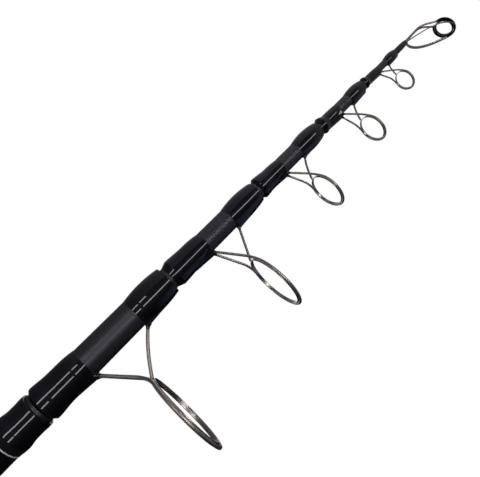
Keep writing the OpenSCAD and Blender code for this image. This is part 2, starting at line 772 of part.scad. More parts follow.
// A side leg leaves the tube on side s, bows out and runs into the hoop, in a curve with two pulls
function side_leg_point(s, u) =
    let (w = 1 - u,
         a = [nose_x, s * tip_wire / 4, -tip_wire / 4],
         b = [nose_x + tip_leg_reach, s * tip_leg_spread, -tip_leg_drop],
         down = sin(tip_leg_split) * [sin(tip_ring_tilt), 0, -cos(tip_ring_tilt)],
         tangent = down + [0, s * cos(tip_leg_split), 0],
         d = tip_hoop_point(s * tip_leg_split),
         c = d - tip_leg_run * tangent - [tip_leg_back, 0, 0])
    w * w * w * a + 3 * w * w * u * b + 3 * w * u * u * c + u * u * u * d;

module tip_blank() {
    color(carbon) blank_solid(7, nest_x, tip_end, 0);
}

module tip_whipping() {
    x0 = mouth(6) + neck / 2;
    length = tip_end - x0;
    color(lacquer) difference() {
        turned([
            for (i = [0 : steps])
                let (u = i / steps) [tube_r + edge_build + tip_build * (1 - pow(u, tip_power)), x0 + length * u],
            [0, tip_end], [0, x0]
        ]);
        blank_solid(7, x0 - past, tip_end + past, bond);
        cone_x(tube_x - bond, tip_end + past, tube_r + bond, tube_r + bond);
    }
}

module tip_frame() {
    r = tip_wire / 2;
    color(gunmetal) {
        difference() {
            union() {
                cone_x(tube_x, nose_x, tube_r, tube_r);
                cone_x(nose_x, nose_x + tip_cone, tube_r, r);
            }
            blank_solid(7, tube_x - past, tip_end + bond, bond);
        }
        for (s = [-1, 1]) {
            wire(upper_wire_points(s), r);
            wire([for (i = [0 : leg_steps]) side_leg_point(s, i / leg_steps)], r);
        }
        translate(tip_centre) rotate([0, -90 - tip_ring_tilt, 0]) rotate([0, 0, tip_split])
            rotate_extrude(angle = 360 - 2 * tip_split) translate([tip_hoop_r, 0]) circle(r);
    }
}

module tip_ring() {
    color("black") translate(tip_centre) rotate([0, -tip_ring_tilt, 0])
        band_ring(-tip_ring_width / 2, tip_ring_width, tip_ring_r, tip_ring_out, edge_round);
}

butt_blank();
butt_collar_whipping();
butt_trim_band();
butt_ferrule();
rear_grip();
rear_grip_check();
reel_seat_body();
reel_seat_arbors();
fore_grip();
fore_grip_check();
sliding_hood();
lock_nut();
cap_plug();
cap_rubber();
cap_cushion();
cap_seal_ring();
for (k = [2 : 6]) {
    section_blank(k);
    section_rear_whipping(k);
    section_front_whipping(k);
    guide_frame(k);
    guide_front_leg(k);
    guide_ring(k);
}
tip_blank();
tip_whipping();
tip_frame();
tip_ring();
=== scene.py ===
"""Looks of a collapsed telescopic carp rod: matt carbon tubes, whippings of thread under glossy resin,
dark chrome wire guides, and the handle, all worked out as surfaces round the rod's axis X."""

import bmesh
import bpy
import numpy as np
from mathutils import Matrix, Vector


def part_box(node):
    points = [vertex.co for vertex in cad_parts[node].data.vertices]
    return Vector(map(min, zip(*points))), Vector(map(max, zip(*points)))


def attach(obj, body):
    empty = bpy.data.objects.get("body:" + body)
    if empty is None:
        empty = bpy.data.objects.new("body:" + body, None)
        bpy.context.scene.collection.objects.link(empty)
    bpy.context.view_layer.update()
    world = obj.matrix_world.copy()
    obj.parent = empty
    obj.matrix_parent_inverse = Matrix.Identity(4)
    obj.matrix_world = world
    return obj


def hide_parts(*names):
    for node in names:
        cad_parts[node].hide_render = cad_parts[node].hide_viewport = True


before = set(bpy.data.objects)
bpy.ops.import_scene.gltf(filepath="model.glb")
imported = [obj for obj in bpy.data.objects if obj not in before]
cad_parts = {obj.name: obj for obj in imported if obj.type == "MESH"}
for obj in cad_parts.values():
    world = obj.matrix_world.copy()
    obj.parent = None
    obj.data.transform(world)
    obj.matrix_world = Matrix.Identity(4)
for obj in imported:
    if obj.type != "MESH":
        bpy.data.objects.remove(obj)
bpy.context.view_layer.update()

# Shapes are worked out in millimetres and put into the meshes in metres
MM = 0.001
TAU = 2 * np.pi
ALONG = np.array([1, 0, 0])
SIDEWAYS = np.array([0, 1, 0])
UPWARD = np.array([0, 0, 1])
SIDES = ((-1, "left"), (1, "right"))

# The photograph's width, and its camera: the focal length in pixels, the station beside which it stands, its
# distance in mm, its angles, and how many pixels the rod passes from the picture's middle
PICTURE_WIDTH = 480
FOCAL_PIXELS = 405
SENSOR_WIDTH = 36
CAMERA_FOOT = 433.9
CAMERA_DISTANCE = 250
CAMERA_TURN = np.radians(16.5)
CAMERA_BELOW = np.radians(17)
CAMERA_ROLL = np.radians(45)
ROD_OFFSET_PIXELS = 21.75

# Sections are counted from 1, the butt, to 7, the tip. Sections 2 to 6 carry the guides 1 to 5
DRAWN = range(2, 7)
# Tubes: the radius lost per mm, the walls, the rounding of the mouths, and the gap of glue round them
TAPER = 0.0012
WALL = {1: 0.66, 2: 1.34, 3: 0.7, 4: 0.78, 5: 1.0, 6: 0.53}
MOUTH_ROUND = 0.25
BOND = 0.02

# Whippings: how high they stand on the tube, at their edges, in the middle of the front ones, at the stop lip
# of the rear ones, and ahead of it
EDGE_BUILD = 0.1
FRONT_BUILD = {2: 1.2, 3: 1.3, 4: 1.4, 5: 1.1, 6: 1.1}
LIP_BUILD = {2: 1.75, 3: 1.6, 4: 1.65, 5: 1.75, 6: 1.65}
REAR_BUILD = {2: 1, 3: 0.95, 4: 0.65, 5: 0.4, 6: 0.5}
# Lengths of the lip's rise and fall, of the rear whipping's thin end, and of the rounding at the edges
LIP_SLOPE = {2: 2, 3: 4, 4: 2, 5: 3, 6: 1.8}
LIP_FALL = {2: 11, 3: 14, 4: 12, 5: 5.5, 6: 4.2}
FADE_LENGTH = 10
END_ROUND = 0.25
# Thread over the guides' feet: its height over the wire, how far it reaches on the front ones, the length in
# which it fades, the share it drops by at the exit, and the power by which it joins the rest
FOOT_COVER = {2: 0.4, 3: 0.8, 4: 0.4, 5: 0.8, 6: 0.5}
FRONT_COVER = {2: 17, 3: 15, 4: 12, 5: 14, 6: 11}
COVER_FADE = 3
COVER_DROP = 0.75
WRAP_BLEND = 5
# The butt's collar: its build, and the height, place from the nearer end and half length of its two swells
COLLAR_BUILD = 0.22
COLLAR_SWELL = 0.7
COLLAR_SWELL_AT = 5
COLLAR_SWELL_HALF = 6
COLLAR_LIP = 0.22
COLLAR_LIP_AT = 2.5
COLLAR_LIP_HALF = 4

# Guides: wire diameters, degrees from the hoop's top to the corner of each rear leg, and the front leg's bow
WIRE = {2: 2.1, 3: 1.7, 4: 1.5, 5: 1.35, 6: 1.15}
SPLIT = {2: 20, 3: 30, 4: 30, 5: 36, 6: 34}
FRONT_BOW = {2: 1, 3: 0, 4: 0.7, 5: 0.5, 6: 0.4}
# In wire diameters: the length of a leg's bend, the ring's wall, and how far the rear feet lie off the middle
LEG_BEND = 4
RING_WALL = 0.36
FOOT_APART = 1.1
# Bends of the solids' wires are fuller than the wire, which sets how far they lie off a tube or a ring
WIRE_GAP = 0.06
BEND_FULL = 1.04
# Feet: how far inside the whipping they leave the tube, their lengths, ground ends, and the bend to the leg
EXIT_IN = 0.8
REAR_FOOT = 14
FRONT_FOOT = 11
FOOT_END_R = 0.3
EXIT_BEND = 1.6
# Resin on the legs: its length in wire diameters, its flare as a share of the wire's radius, its film on the
# wire, its root as a share of its length, and how blunt the root is
RESIN_LENGTH = 1.4
RESIN_FLARE = 1.1
RESIN_SKIN = 0.03
RESIN_ROOT = 0.25
RESIN_END = 0.01
# Power of the rings' section
BAND_POWER = 0.6

# Tip-top: its wire, its ring, and the tilt of ring and hoop
TIP_WIRE = 1.5
TIP_TILT = np.radians(12)
TIP_RING_WIDTH = 2.6
TIP_RING_WALL = 1.4
# Upper wires: where they meet the hoop, and the distance from the tip's end, height and length of their bend
TIP_SPLIT = np.radians(18)
TIP_PART = 23
TIP_RISE = 1
TIP_BEND = 6
# Side wires: where they meet the hoop, the pulls of their curve, the way they are broad, and their flatness
TIP_LEG_SPLIT = np.radians(140)
TIP_LEG_START = (5, 9.5, -5.8)
TIP_LEG_RUN = 13.1
TIP_LEG_BACK = 7
TIP_LEG_BROAD = np.array([0.36, -0.8, 0.48])
TIP_LEG_FLAT = (1.4, 0.6)
# The tip's end, the tube over it with its cone, and the whipping on the tube
TIP_ROUND = 0.2
TIP_NOSE = 1
TIP_TUBE_LENGTH = 14
TIP_TUBE_WALL = 0.6
TIP_CONE = 2
TIP_CONE_ROUND = 0.3
TIP_BUILD = 0.45
TIP_POWER = 4

# Handle: rounding of edges
EDGE_ROUND = 0.6
CHECK_ROUND = 0.48
BORE_ROUND = 0.3
FLANGE_ROUND = 0.2
FINE_ROUND = 0.1
GRIP_ROUND = 2
NUT_ROUND = 1
# Hoods: the pocket for the reel's foot, the shell's wall and slope with the share of it that is straight, the
# power by which shell and sleeve join, and the travel
POCKET_DEPTH = 14
POCKET_NARROW = 1
POCKET_SHIFT = 6.5
HOOD_WALL = 1.5
HOOD_SLOPE = 3.7
HOOD_EASE = 0.35
HOOD_BLEND = 24
HOOD_TRAVEL = 16
# Rows of a pocket, from its end to the open face, as shares of its depth and of its hollow
POCKET_ROWS = np.array([(0, 0), (0, 0.7), (0.02, 0.94), (0.06, 1), (0.5, 1), (0.96, 1), (1, 1)])
# Seat: its wall and flange, and the keyway with the hood's key in it
SEAT_WALL = 1.3
FLANGE_LENGTH = 4
SLOT_DEPTH = 0.8
SLOT_LENGTH = 51.3
SLOT_SIDE = 0.4
KEY_WIDTH = 2.6
KEY_SIDE = 0.3
# Lock nut
NUT_WALL = 3.2
NUT_FLOOR = 0.4
NUT_GROOVES = 14
GROOVE_R = 1.6
# Screw threads, and the gap in which they and the hood run
THREAD_PITCH = 2
THREAD_HEIGHT = 0.22
THREAD_FADE = 2
RUN_GAP = 0.3
# Butt cap: the ferrule's bore over section 2, the plug's nose, the seal's groove, and the rubber
FERRULE_CLEAR = 0.8
PLUG_NOSE = 0.4
SEAL_THICKNESS = 1.2
SEAL_GAP = 0.2
RUBBER_RINGS = 3
RUBBER_RING_DEPTH = 0.35
RUBBER_RING_POWER = 8
RUBBER_ROUND = 2.4
RUBBER_FACE = 0.6
# Width of the trim band
TRIM_SHOWN = 0.65

# Grid sizes: columns round a piece, rows along it, points along a curve, and the step along a wire in mm
TUBE_COLUMNS = 128
SEAT_COLUMNS = 256
GROOVE_COLUMNS = 14
PLUG_COLUMNS = 96
RING_COLUMNS = 160
TIP_COLUMNS = 48
WIRE_COLUMNS = 16
WRAP_ROWS = 90
TIP_WRAP_ROWS = 40
HOOD_ROWS = 60
THREAD_ROWS = 120
SEAT_ROWS = 150
PLUG_ROWS = 60
BOOT_ROWS = 90
CORNER_STEPS = 6
FOOT_STEPS = 16
BEND_STEPS = 30
LEG_STEPS = 40
TIP_LEG_STEPS = 60
HOOP_STEPS = 120
TIP_HOOP_STEPS = 140
BAND_STEPS = 28
RESIN_STEPS = 20
DOME_STEPS = 14
CARD_STEPS = 40
WIRE_STEP = 0.4
# A point this many cuts from a rounded corner, on both sides, keeps flat stretches flat to the eye
CORNER_LEAD = 1.4
# In metres: points that are closer are made one, and edges that are shorter are taken out
SAME_POINT = 1e-7
NO_EDGE = 1e-8


# Basic shapes
def corners(node):
    """Lowest and highest corner of a solid, in mm."""
    low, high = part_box(node)
    return np.array(low) / MM, np.array(high) / MM


def put(name, data):
    """A new object in the scene, at the origin."""
    made = bpy.data.objects.new(name, data)
    bpy.context.scene.collection.objects.link(made)
    return made


def skin(name, points, along, around, wrap_rows=True):
    """A mesh from a grid of points in mm. Columns always close round, and rows do too where asked. along and
    around are the rows' and columns' places in mm for the UV map, one longer where the grid closes."""
    rows, columns = points.shape[:2]
    i, j = np.meshgrid(np.arange(rows - 1 + wrap_rows), np.arange(columns), indexing="ij")
    quad_i = np.stack([i, i + 1, i + 1, i], -1).reshape(-1, 4)
    quad_j = np.stack([j, j, j + 1, j + 1], -1).reshape(-1, 4)
    quads = (quad_i % rows) * columns + quad_j % columns
    flat = points.reshape(-1, 3)
    a, b, c, d = (flat[quads[:, n]] for n in range(4))
    volume = np.sum(a * np.cross(b, c)) + np.sum(a * np.cross(c, d))
    if volume < 0:
        quads = quads[:, ::-1]
        quad_i = quad_i[:, ::-1]
        quad_j = quad_j[:, ::-1]
    mesh = bpy.data.meshes.new(name)
    mesh.vertices.add(len(flat))
    mesh.vertices.foreach_set("co", (flat * MM).astype(np.float32).ravel())
    mesh.loops.add(quads.size)
    mesh.loops.foreach_set("vertex_index", quads.astype(np.int32).ravel())
    mesh.polygons.add(len(quads))
    mesh.polygons.foreach_set("loop_start", np.arange(0, quads.size, 4, dtype=np.int32))
    mesh.polygons.foreach_set("use_smooth", np.ones(len(quads), bool))
    mesh.update(calc_edges=True)
    uv = np.stack([along[quad_i], around[quad_j]], -1)
    mesh.uv_layers.new(name="UVMap").data.foreach_set("uv", uv.astype(np.float32).ravel())
    return put(name, mesh)


def close_poles(piece):
    """Merges the points of each row that has shrunk to one, as at the ends of a wire or on the axis."""
    work = bmesh.new()
    work.from_mesh(piece.data)
    bmesh.ops.remove_doubles(work, verts=work.verts, dist=SAME_POINT)
    bmesh.ops.dissolve_degenerate(work, edges=work.edges, dist=NO_EDGE)
    work.to_mesh(piece.data)
    work.free()
    return piece


def arc_length(path):
    """Distance along a path to each of its points."""
    steps = np.linalg.norm(np.diff(path, axis=0), axis=1)
    return np.concatenate([[0], np.cumsum(steps)])


def turn_angles(columns):
    """Angles round the axis, from the guide side, one for each column."""
    return np.arange(columns) * TAU / columns


def round_the_piece(columns, r):
    """Distance round a piece of radius r to each column, and back to the first one, for the UV map."""
    return np.arange(columns + 1) / columns * TAU * r


def about_axis(x, r, angle):
    """Points at station x and radius r, turned about the rod's axis from the guide side, -Z."""
    x, r, angle = np.broadcast_arrays(x, r, angle)
    return np.stack([x, r * np.sin(angle), -r * np.cos(angle)], -1)


def turned(name, outline, columns=TUBE_COLUMNS):
    """A solid of revolution: a closed outline of (x, r) in mm, carried round the axis."""
    outline = np.asarray(outline, float)
    angle = turn_angles(columns)
    points = about_axis(outline[:, :1], outline[:, 1:], angle[None])
    along = arc_length(np.vstack([outline, outline[:1]]))
    return close_poles(skin(name, points, along, round_the_piece(columns, outline[:, 1].max())))


def rounded(points, cuts):
    """An outline with its corners rounded: each is replaced by a parabola that starts and ends a cut away
    from it, with a further point just outside each end."""
    points = np.asarray(points, float)
    cuts = np.asarray(cuts, float)[:, None]
    before = np.roll(points, 1, axis=0) - points
    after = np.roll(points, -1, axis=0) - points
    before /= np.linalg.norm(before, axis=1)[:, None]
    after /= np.linalg.norm(after, axis=1)[:, None]
    u = np.linspace(0, 1, CORNER_STEPS)[None, :, None]
    start = (points + before * cuts)[:, None]
    end = (points + after * cuts)[:, None]
    curve = (1 - u) ** 2 * start + 2 * u * (1 - u) * points[:, None] + u ** 2 * end
    lead = (points + before * cuts * CORNER_LEAD)[:, None]
    trail = (points + after * cuts * CORNER_LEAD)[:, None]
    return np.concatenate([lead, curve, trail], axis=1).reshape(-1, 2)


def swell(x, centre, half):
    """A raised cosine: 1 at the centre and 0 from half a length away."""
    return np.where(np.abs(x - centre) < half, (1 + np.cos(np.pi * (x - centre) / half)) / 2, 0)


def fullest(a, b, power):
    """The larger of two heights, with a change from one to the other that is sharper with a higher power."""
    return (np.maximum(a, 0) ** power + np.maximum(b, 0) ** power) ** (1 / power)


def resampled(path):
    """The same path with points at even distances."""
    s = arc_length(path)
    even = np.linspace(0, s[-1], int(s[-1] / WIRE_STEP) + 2)
    return np.stack([np.interp(even, s, path[:, n]) for n in range(3)], -1)


def toward(a, b):
    """Direction from one point to another, one unit long."""
    return (b - a) / np.linalg.norm(b - a)


def curve_between(a, c, b, steps=FOOT_STEPS):
    """A bend from a to b that touches the lines to its corner c: a parabola."""
    u = np.linspace(0, 1, steps)[:, None]
    return (1 - u) ** 2 * a + 2 * u * (1 - u) * c + u ** 2 * b


def swept(name, path, radius, broad=(1, 1, 1), wide=1, thin=1):
    """A wire: circles carried along a path, square to it, that shrink over its two rounded ends. A flattened
    wire has ovals instead, wide towards the broad direction and thin across it, as shares of the radius."""
    radius = np.broadcast_to(radius, len(path)).astype(float)
    tangent = np.gradient(path, axis=0)
    tangent /= np.linalg.norm(tangent, axis=1)[:, None]
    cap = np.radians(np.linspace(90, 0, CORNER_STEPS))[:-1]
    path = np.vstack([
        path[0] - tangent[0] * radius[0] * np.sin(cap)[:, None],
        path,
        path[-1] + tangent[-1] * radius[-1] * np.sin(cap)[::-1, None],
    ])
    radius = np.concatenate([radius[0] * np.cos(cap), radius, radius[-1] * np.cos(cap)[::-1]])
    tangent = np.vstack([np.tile(tangent[:1], (len(cap), 1)), tangent, np.tile(tangent[-1:], (len(cap), 1))])
    side = np.cross(tangent, np.asarray(broad, float))
    side /= np.linalg.norm(side, axis=1)[:, None]
    up = np.cross(side, tangent)
    angle = turn_angles(WIRE_COLUMNS)[None, :, None]
    section = thin * np.cos(angle) * side[:, None] + wide * np.sin(angle) * up[:, None]
    points = path[:, None] + radius[:, None, None] * section
    around = round_the_piece(WIRE_COLUMNS, radius.max())
    return close_poles(skin(name, points, arc_length(path), around, wrap_rows=False))


# Stations of the tubes and whippings, from the solids
def span(node):
    """First and last station of a solid along the rod."""
    low, high = corners(node)
    return low[0], high[0]


BLANK = {1: "butt_blank", 7: "tip_blank"}
BLANK.update({k: f"section_{k}_blank" for k in DRAWN})
REAR = {k: span(node)[0] for k, node in BLANK.items()}
MOUTH = {k: span(node)[1] for k, node in BLANK.items()}
REAR_RADIUS = {k: corners(node)[1][2] for k, node in BLANK.items()}
REAR_SPAN = {k: span(f"section_{k}_rear_whipping") for k in DRAWN}
FRONT_SPAN = {k: span(f"section_{k}_front_whipping") for k in DRAWN}


def blank_radius(k, x):
    """Outside radius of a tube at x: a straight taper."""
    return REAR_RADIUS[k] - TAPER * (x - REAR[k])


def ring_of(node):
    """Centre, outside radius and width of a ring that stands square to the rod."""
    low, high = corners(node)
    return (low + high) / 2, (high[1] - low[1]) / 2, high[0] - low[0]


# Materials
def linear(code):
    """Linear colour, with alpha 1, of an sRGB hex value."""
    srgb = np.array([int(code[n:n + 2], 16) for n in (1, 3, 5)]) / 255
    value = np.where(srgb <= 0.04045, srgb / 12.92, ((srgb + 0.055) / 1.055) ** 2.4)
    return (*value.tolist(), 1)


def add(tree, kind, inputs=None, **settings):
    """Adds a node. settings are its properties, and inputs its sockets: values, or outputs to link from."""
    made = tree.nodes.new(kind)
    for key, value in settings.items():
        setattr(made, key, value)
    for key, value in (inputs or {}).items():
        if isinstance(value, bpy.types.NodeSocket):
            tree.links.new(value, made.inputs[key])
        else:
            made.inputs[key].default_value = value
    return made


def material(name):
    """A new material with an empty node tree."""
    made = bpy.data.materials.new(name)
    made.use_nodes = True
    made.node_tree.nodes.clear()
    return made, made.node_tree


def dress(tree, tone, dark, light, roughness, relief, more):
    """Ends a material: a tone from 0 to 1 leads from a dark to a light colour and from one roughness to the
    other, and is the height of a relief of a strength and a depth in mm. more are further shader inputs."""
    colour = add(tree, "ShaderNodeMix", {0: tone, "A": linear(dark), "B": linear(light)}, data_type="RGBA")
    gloss = add(tree, "ShaderNodeMapRange", {"Value": tone, "To Min": roughness[0], "To Max": roughness[1]})
    bump = add(tree, "ShaderNodeBump", {"Height": tone, "Strength": relief[0], "Distance": relief[1] * MM})
    shader = add(tree, "ShaderNodeBsdfPrincipled", {
        "Base Color": colour.outputs["Result"], "Roughness": gloss.outputs[0], "Normal": bump.outputs[0],
        **more})
    add(tree, "ShaderNodeOutputMaterial", {"Surface": shader.outputs[0]})


def taped_carbon():
    """Carbon tube as it leaves the oven, under no varnish: dark grey and matt, with the fine ridges that the
    shrink tape pressed into its resin. Real ridges are about 0.6 mm apart, and are drawn twice as coarse to
    show. They sway by noise a few millimetres wide."""
    ridge = 1.3
    noise_width = 2.5
    sway = 1.5
    made, tree = material("taped_carbon")
    place = add(tree, "ShaderNodeUVMap", uv_map="UVMap")
    part = add(tree, "ShaderNodeSeparateXYZ", {"Vector": place.outputs["UV"]})
    drift = add(tree, "ShaderNodeTexNoise", {
        "Vector": place.outputs["UV"], "Scale": 1 / noise_width, "Detail": 3.0})
    turns = add(tree, "ShaderNodeMath", {0: part.outputs["X"], 1: TAU / ridge}, operation="MULTIPLY")
    phase = add(tree, "ShaderNodeMath", {0: drift.outputs["Fac"], 1: sway, 2: turns.outputs[0]},
                operation="MULTIPLY_ADD")
    wave = add(tree, "ShaderNodeMath", {0: phase.outputs[0]}, operation="SINE")
    tone = add(tree, "ShaderNodeMapRange", {"Value": wave.outputs[0], "From Min": -1.0})
    dress(tree, tone.outputs[0], "#0e0e10", "#19191b", roughness=(0.46, 0.4), relief=(0.15, 0.03),
          more={"Specular IOR Level": 0.7, "Specular Tint": linear("#f0f0ff")})
    return made


def resin_whipping():
    """Black thread, wound tight and flooded with clear resin: near black, with faint ridges of thread deep in
    a smooth gloss that has run into slow waves. Threads lie 0.3 mm apart, and the waves are 9 mm long."""
    thread = 0.3
    wave = 9
    made, tree = material("resin_whipping")
    place = add(tree, "ShaderNodeUVMap", uv_map="UVMap")
    part = add(tree, "ShaderNodeSeparateXYZ", {"Vector": place.outputs["UV"]})
    turns = add(tree, "ShaderNodeMath", {0: part.outputs["X"], 1: TAU / thread}, operation="MULTIPLY")
    ridge = add(tree, "ShaderNodeMath", {0: turns.outputs[0]}, operation="SINE")
    tone = add(tree, "ShaderNodeMapRange", {"Value": ridge.outputs[0], "From Min": -1.0})
    colour = add(tree, "ShaderNodeMix", {
        0: tone.outputs[0], "A": linear("#030306"), "B": linear("#06060e")}, data_type="RGBA")
    relief = add(tree, "ShaderNodeBump", {
        "Height": ridge.outputs[0], "Strength": 0.3, "Distance": 0.03 * MM})
    object_place = add(tree, "ShaderNodeTexCoord")
    flow = add(tree, "ShaderNodeTexNoise", {
        "Vector": object_place.outputs["Object"], "Scale": 1 / (wave * MM), "Detail": 1.0})
    surface = add(tree, "ShaderNodeBump", {
        "Height": flow.outputs["Fac"], "Strength": 0.1, "Distance": 0.2 * MM})
    shader = add(tree, "ShaderNodeBsdfPrincipled", {
        "Base Color": colour.outputs["Result"], "Roughness": 0.5, "Normal": relief.outputs[0],
        "Specular IOR Level": 0.1, "Coat Weight": 1.0, "Coat Roughness": 0.02, "Coat IOR": 1.45,
        "Coat Normal": surface.outputs[0]})
    add(tree, "ShaderNodeOutputMaterial", {"Surface": shader.outputs[0]})
    return made


def metal(name, dark, light, roughness, line, strength, drawn=False):
    """A metal with fine lines left by turning or polishing round the piece or, where it is drawn, along it:
    noise about a line's width across, stretched 20 times along the lines, or 50 times where drawn. It varies
    the roughness by up to 0.15 of itself."""
    made, tree = material(name)
    place = add(tree, "ShaderNodeUVMap", uv_map="UVMap")
    scale = (1 / (50 * line), 1 / line, 1) if drawn else (1 / line, 1 / (20 * line), 1)
    stretch = add(tree, "ShaderNodeMapping", {"Vector": place.outputs["UV"], "Scale": scale})
    lines = add(tree, "ShaderNodeTexNoise", {"Vector": stretch.outputs[0], "Scale": 1.0, "Detail": 3.0})
    dress(tree, lines.outputs["Fac"], dark, light, roughness=(roughness * 0.85, roughness * 1.15),
          relief=(strength, 0.02), more={"Metallic": 1.0})
    return made


def grained(name, dark, light, roughness, grain, strength, specular=0.5, cells=False):
    """A moulded, foamed or lacquered surface: a grain of the given width in mm, of noise or of round cells,
    that mottles the colour, pits the skin, and varies the roughness by up to 0.1 of itself."""
    made, tree = material(name)
    place = add(tree, "ShaderNodeTexCoord")
    fine = {"Vector": place.outputs["Object"], "Scale": 1 / (grain * MM)}
    if cells:
        height = add(tree, "ShaderNodeTexVoronoi", fine).outputs["Distance"]
    else:
        height = add(tree, "ShaderNodeTexNoise", {**fine, "Detail": 3.0}).outputs["Fac"]
    dress(tree, height, dark, light, roughness=(roughness * 0.9, roughness * 1.1),
          relief=(strength, 0.2 * grain), more={"Specular IOR Level": specular})
    return made


CARBON = taped_carbon()
LACQUER = resin_whipping()
# Drawn stainless wire with a dark chrome plating: warm grey, with soft streaks along the wire
DARK_CHROME = metal("dark_chrome", "#a0978f", "#b5aca4", roughness=0.42, line=0.3, strength=0.05, drawn=True)
# The same wire plated black, round the tip ring: near black, with a sharper sheen
BLACK_CHROME = metal("black_chrome", "#191818", "#272625", roughness=0.25, line=0.3, strength=0.05,
                     drawn=True)
# Rings of the same steel, polished where the line runs: warm grey and brighter
POLISHED_STEEL = metal("polished_steel", "#a19a94", "#b6afa8", roughness=0.3, line=0.3, strength=0.05)
# Silver lacquer of the trim band: pale, with a satin sheen and fine metal flakes
SILVER = grained("silver_lacquer", "#8c8c8f", "#a6a6a9", roughness=0.45, grain=0.3, strength=0.02)
# Varnished carbon of the butt: black, with a smooth clear gloss
VARNISH = grained("varnished_carbon", "#060608", "#0b0b0f", roughness=0.07, grain=3, strength=0.02)
# Turned aluminium, blasted and anodised gunmetal: a soft satin sheen with faint rings of the lathe
ANODISED = metal("anodised_aluminium", "#7d7e83", "#909196", roughness=0.58, line=0.5, strength=0.02)
# Sintered ceramic, polished: black, with a hard bright gloss
CERAMIC = grained("polished_ceramic", "#0a0a0b", "#111113", roughness=0.08, grain=0.6, strength=0.02,
                  specular=0.7)
# Closed-cell foam, ground round: black and dull, with cut cells 0.7 mm across
FOAM = grained("ground_foam", "#161617", "#2a2a2b", roughness=0.85, grain=0.7, strength=0.6, specular=0.25,
               cells=True)
# Moulded rubber: black and dull, with a fine bloom
RUBBER = grained("moulded_rubber", "#131314", "#1f1f20", roughness=0.7, grain=0.5, strength=0.25,
                 specular=0.3)
# Glass-filled nylon from a spark-eroded mould: black satin
NYLON = grained("moulded_nylon", "#161618", "#222225", roughness=0.5, grain=0.35, strength=0.12, specular=0.4)


def piece_on(piece, body, slot, finish, *nodes):
    """Puts a finished piece on its body, in place of the solids it stands for."""
    piece.data.materials.clear()
    piece.data.materials.append(finish)
    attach(piece, body)
    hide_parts(*nodes)


# Tubes
def tube(k, name):
    """A tapered tube with a rounded mouth: its outside, and the bore that lies a wall inside it."""
    x = np.array([REAR[k], MOUTH[k], MOUTH[k], REAR[k]])
    r = blank_radius(k, x) - np.array([0, 0, WALL[k], WALL[k]])
    return turned(name, rounded(np.stack([x, r], -1), [MOUTH_ROUND] * 4))


def build_tubes():
    """The butt's varnished tube, the matt tubes of sections 2 to 6, and the solid tip."""
    piece_on(tube(1, "butt_tube"), "butt", "carbon", VARNISH, "butt_blank")
    for k in DRAWN:
        piece_on(tube(k, f"section_{k}_tube"), f"section_{k}", "carbon", CARBON, f"section_{k}_blank")
    x = np.array([REAR[7], REAR[7], MOUTH[7], MOUTH[7]])
    r = np.array([0, 1, 1, 0]) * blank_radius(7, x)
    tip = turned("tip_rod", rounded(np.stack([x, r], -1), [0, TIP_ROUND, TIP_ROUND, 0]))
    piece_on(tip, "tip", "carbon", CARBON, "tip_blank")


# Whippings
def wound(name, k, x0, x1, build, cover=None):
    """A whipping round a tube: build gives its thickness along x, and cover, where a foot lies under it, the
    height of the thread that is stretched over the foot, along x and by the angle from the guide side. Both
    edges are rounded down to the tube by a quarter circle."""
    bend = END_ROUND * (1 - np.cos(np.linspace(0, np.pi / 2, CORNER_STEPS)))
    middle = np.linspace(x0 + END_ROUND, x1 - END_ROUND, WRAP_ROWS)[1:-1]
    x = np.concatenate([x0 + bend, middle, x1 - bend[::-1]])
    angle = turn_angles(TUBE_COLUMNS)
    base = blank_radius(k, x)
    thick = np.repeat(build(x)[:, None], TUBE_COLUMNS, axis=1)
    if cover is not None:
        thick = fullest(thick, cover(x[:, None], (angle[None] + np.pi) % TAU - np.pi), WRAP_BLEND)
    inward = np.clip(np.minimum(x - x0, x1 - x) / END_ROUND, 0, 1)
    thick = thick * np.sqrt(1 - (1 - inward) ** 2)[:, None] + BOND
    outer = about_axis(x[:, None], base[:, None] + thick, angle[None])
    ends = np.array([x1, x0])
    inner = about_axis(ends[:, None], (blank_radius(k, ends) + BOND)[:, None], angle[None])
    points = np.concatenate([outer, inner])
    along = np.concatenate([x, [x1, x0, x0]])
    return skin(name, points, along, round_the_piece(TUBE_COLUMNS, base.mean()))


def foot_cover(k, exit_x, end_x, y):
    """Height of the thread over ground feet that lie off the middle by y on both sides: a tent of two
    tangents from the feet's tops to the tube, rounded over the wire, and flat from one foot to the other. The
    feet get lower from where the wire leaves the whipping to their ground ends, and the tent fades out beyond
    both."""
    wire_r = WIRE[k] / 2
    sense = np.sign(end_x - exit_x)

    def height(x, angle):
        share = (x - exit_x) / (end_x - exit_x)
        foot_r = wire_r + (FOOT_END_R - wire_r) * np.clip(share, 0, 1)
        beyond = np.clip((x - end_x) * sense / COVER_FADE, 0, 1)
        before = np.clip((exit_x - x) * sense / EXIT_IN, 0, 1)
        fade = (1 - beyond ** 2 * (3 - 2 * beyond)) * (1 - COVER_DROP * before ** 2)
        tall = (2 * foot_r + FOOT_COVER[k]) * fade
        r = blank_radius(k, x)
        lean = np.arccos(r / (r + tall))
        place = np.arcsin(y / (r + foot_r))
        away = np.clip(np.abs(angle) - place, 0, None)
        spread = np.sqrt(away ** 2 + (wire_r / r) ** 2) - wire_r / r
        off = np.clip(lean - spread, 0, None)
        bridge = (r + tall) * np.cos(place) / np.cos(np.minimum(np.abs(angle), place)) - r
        return np.where(away > 0, r / np.cos(off) - r, bridge)

    return height


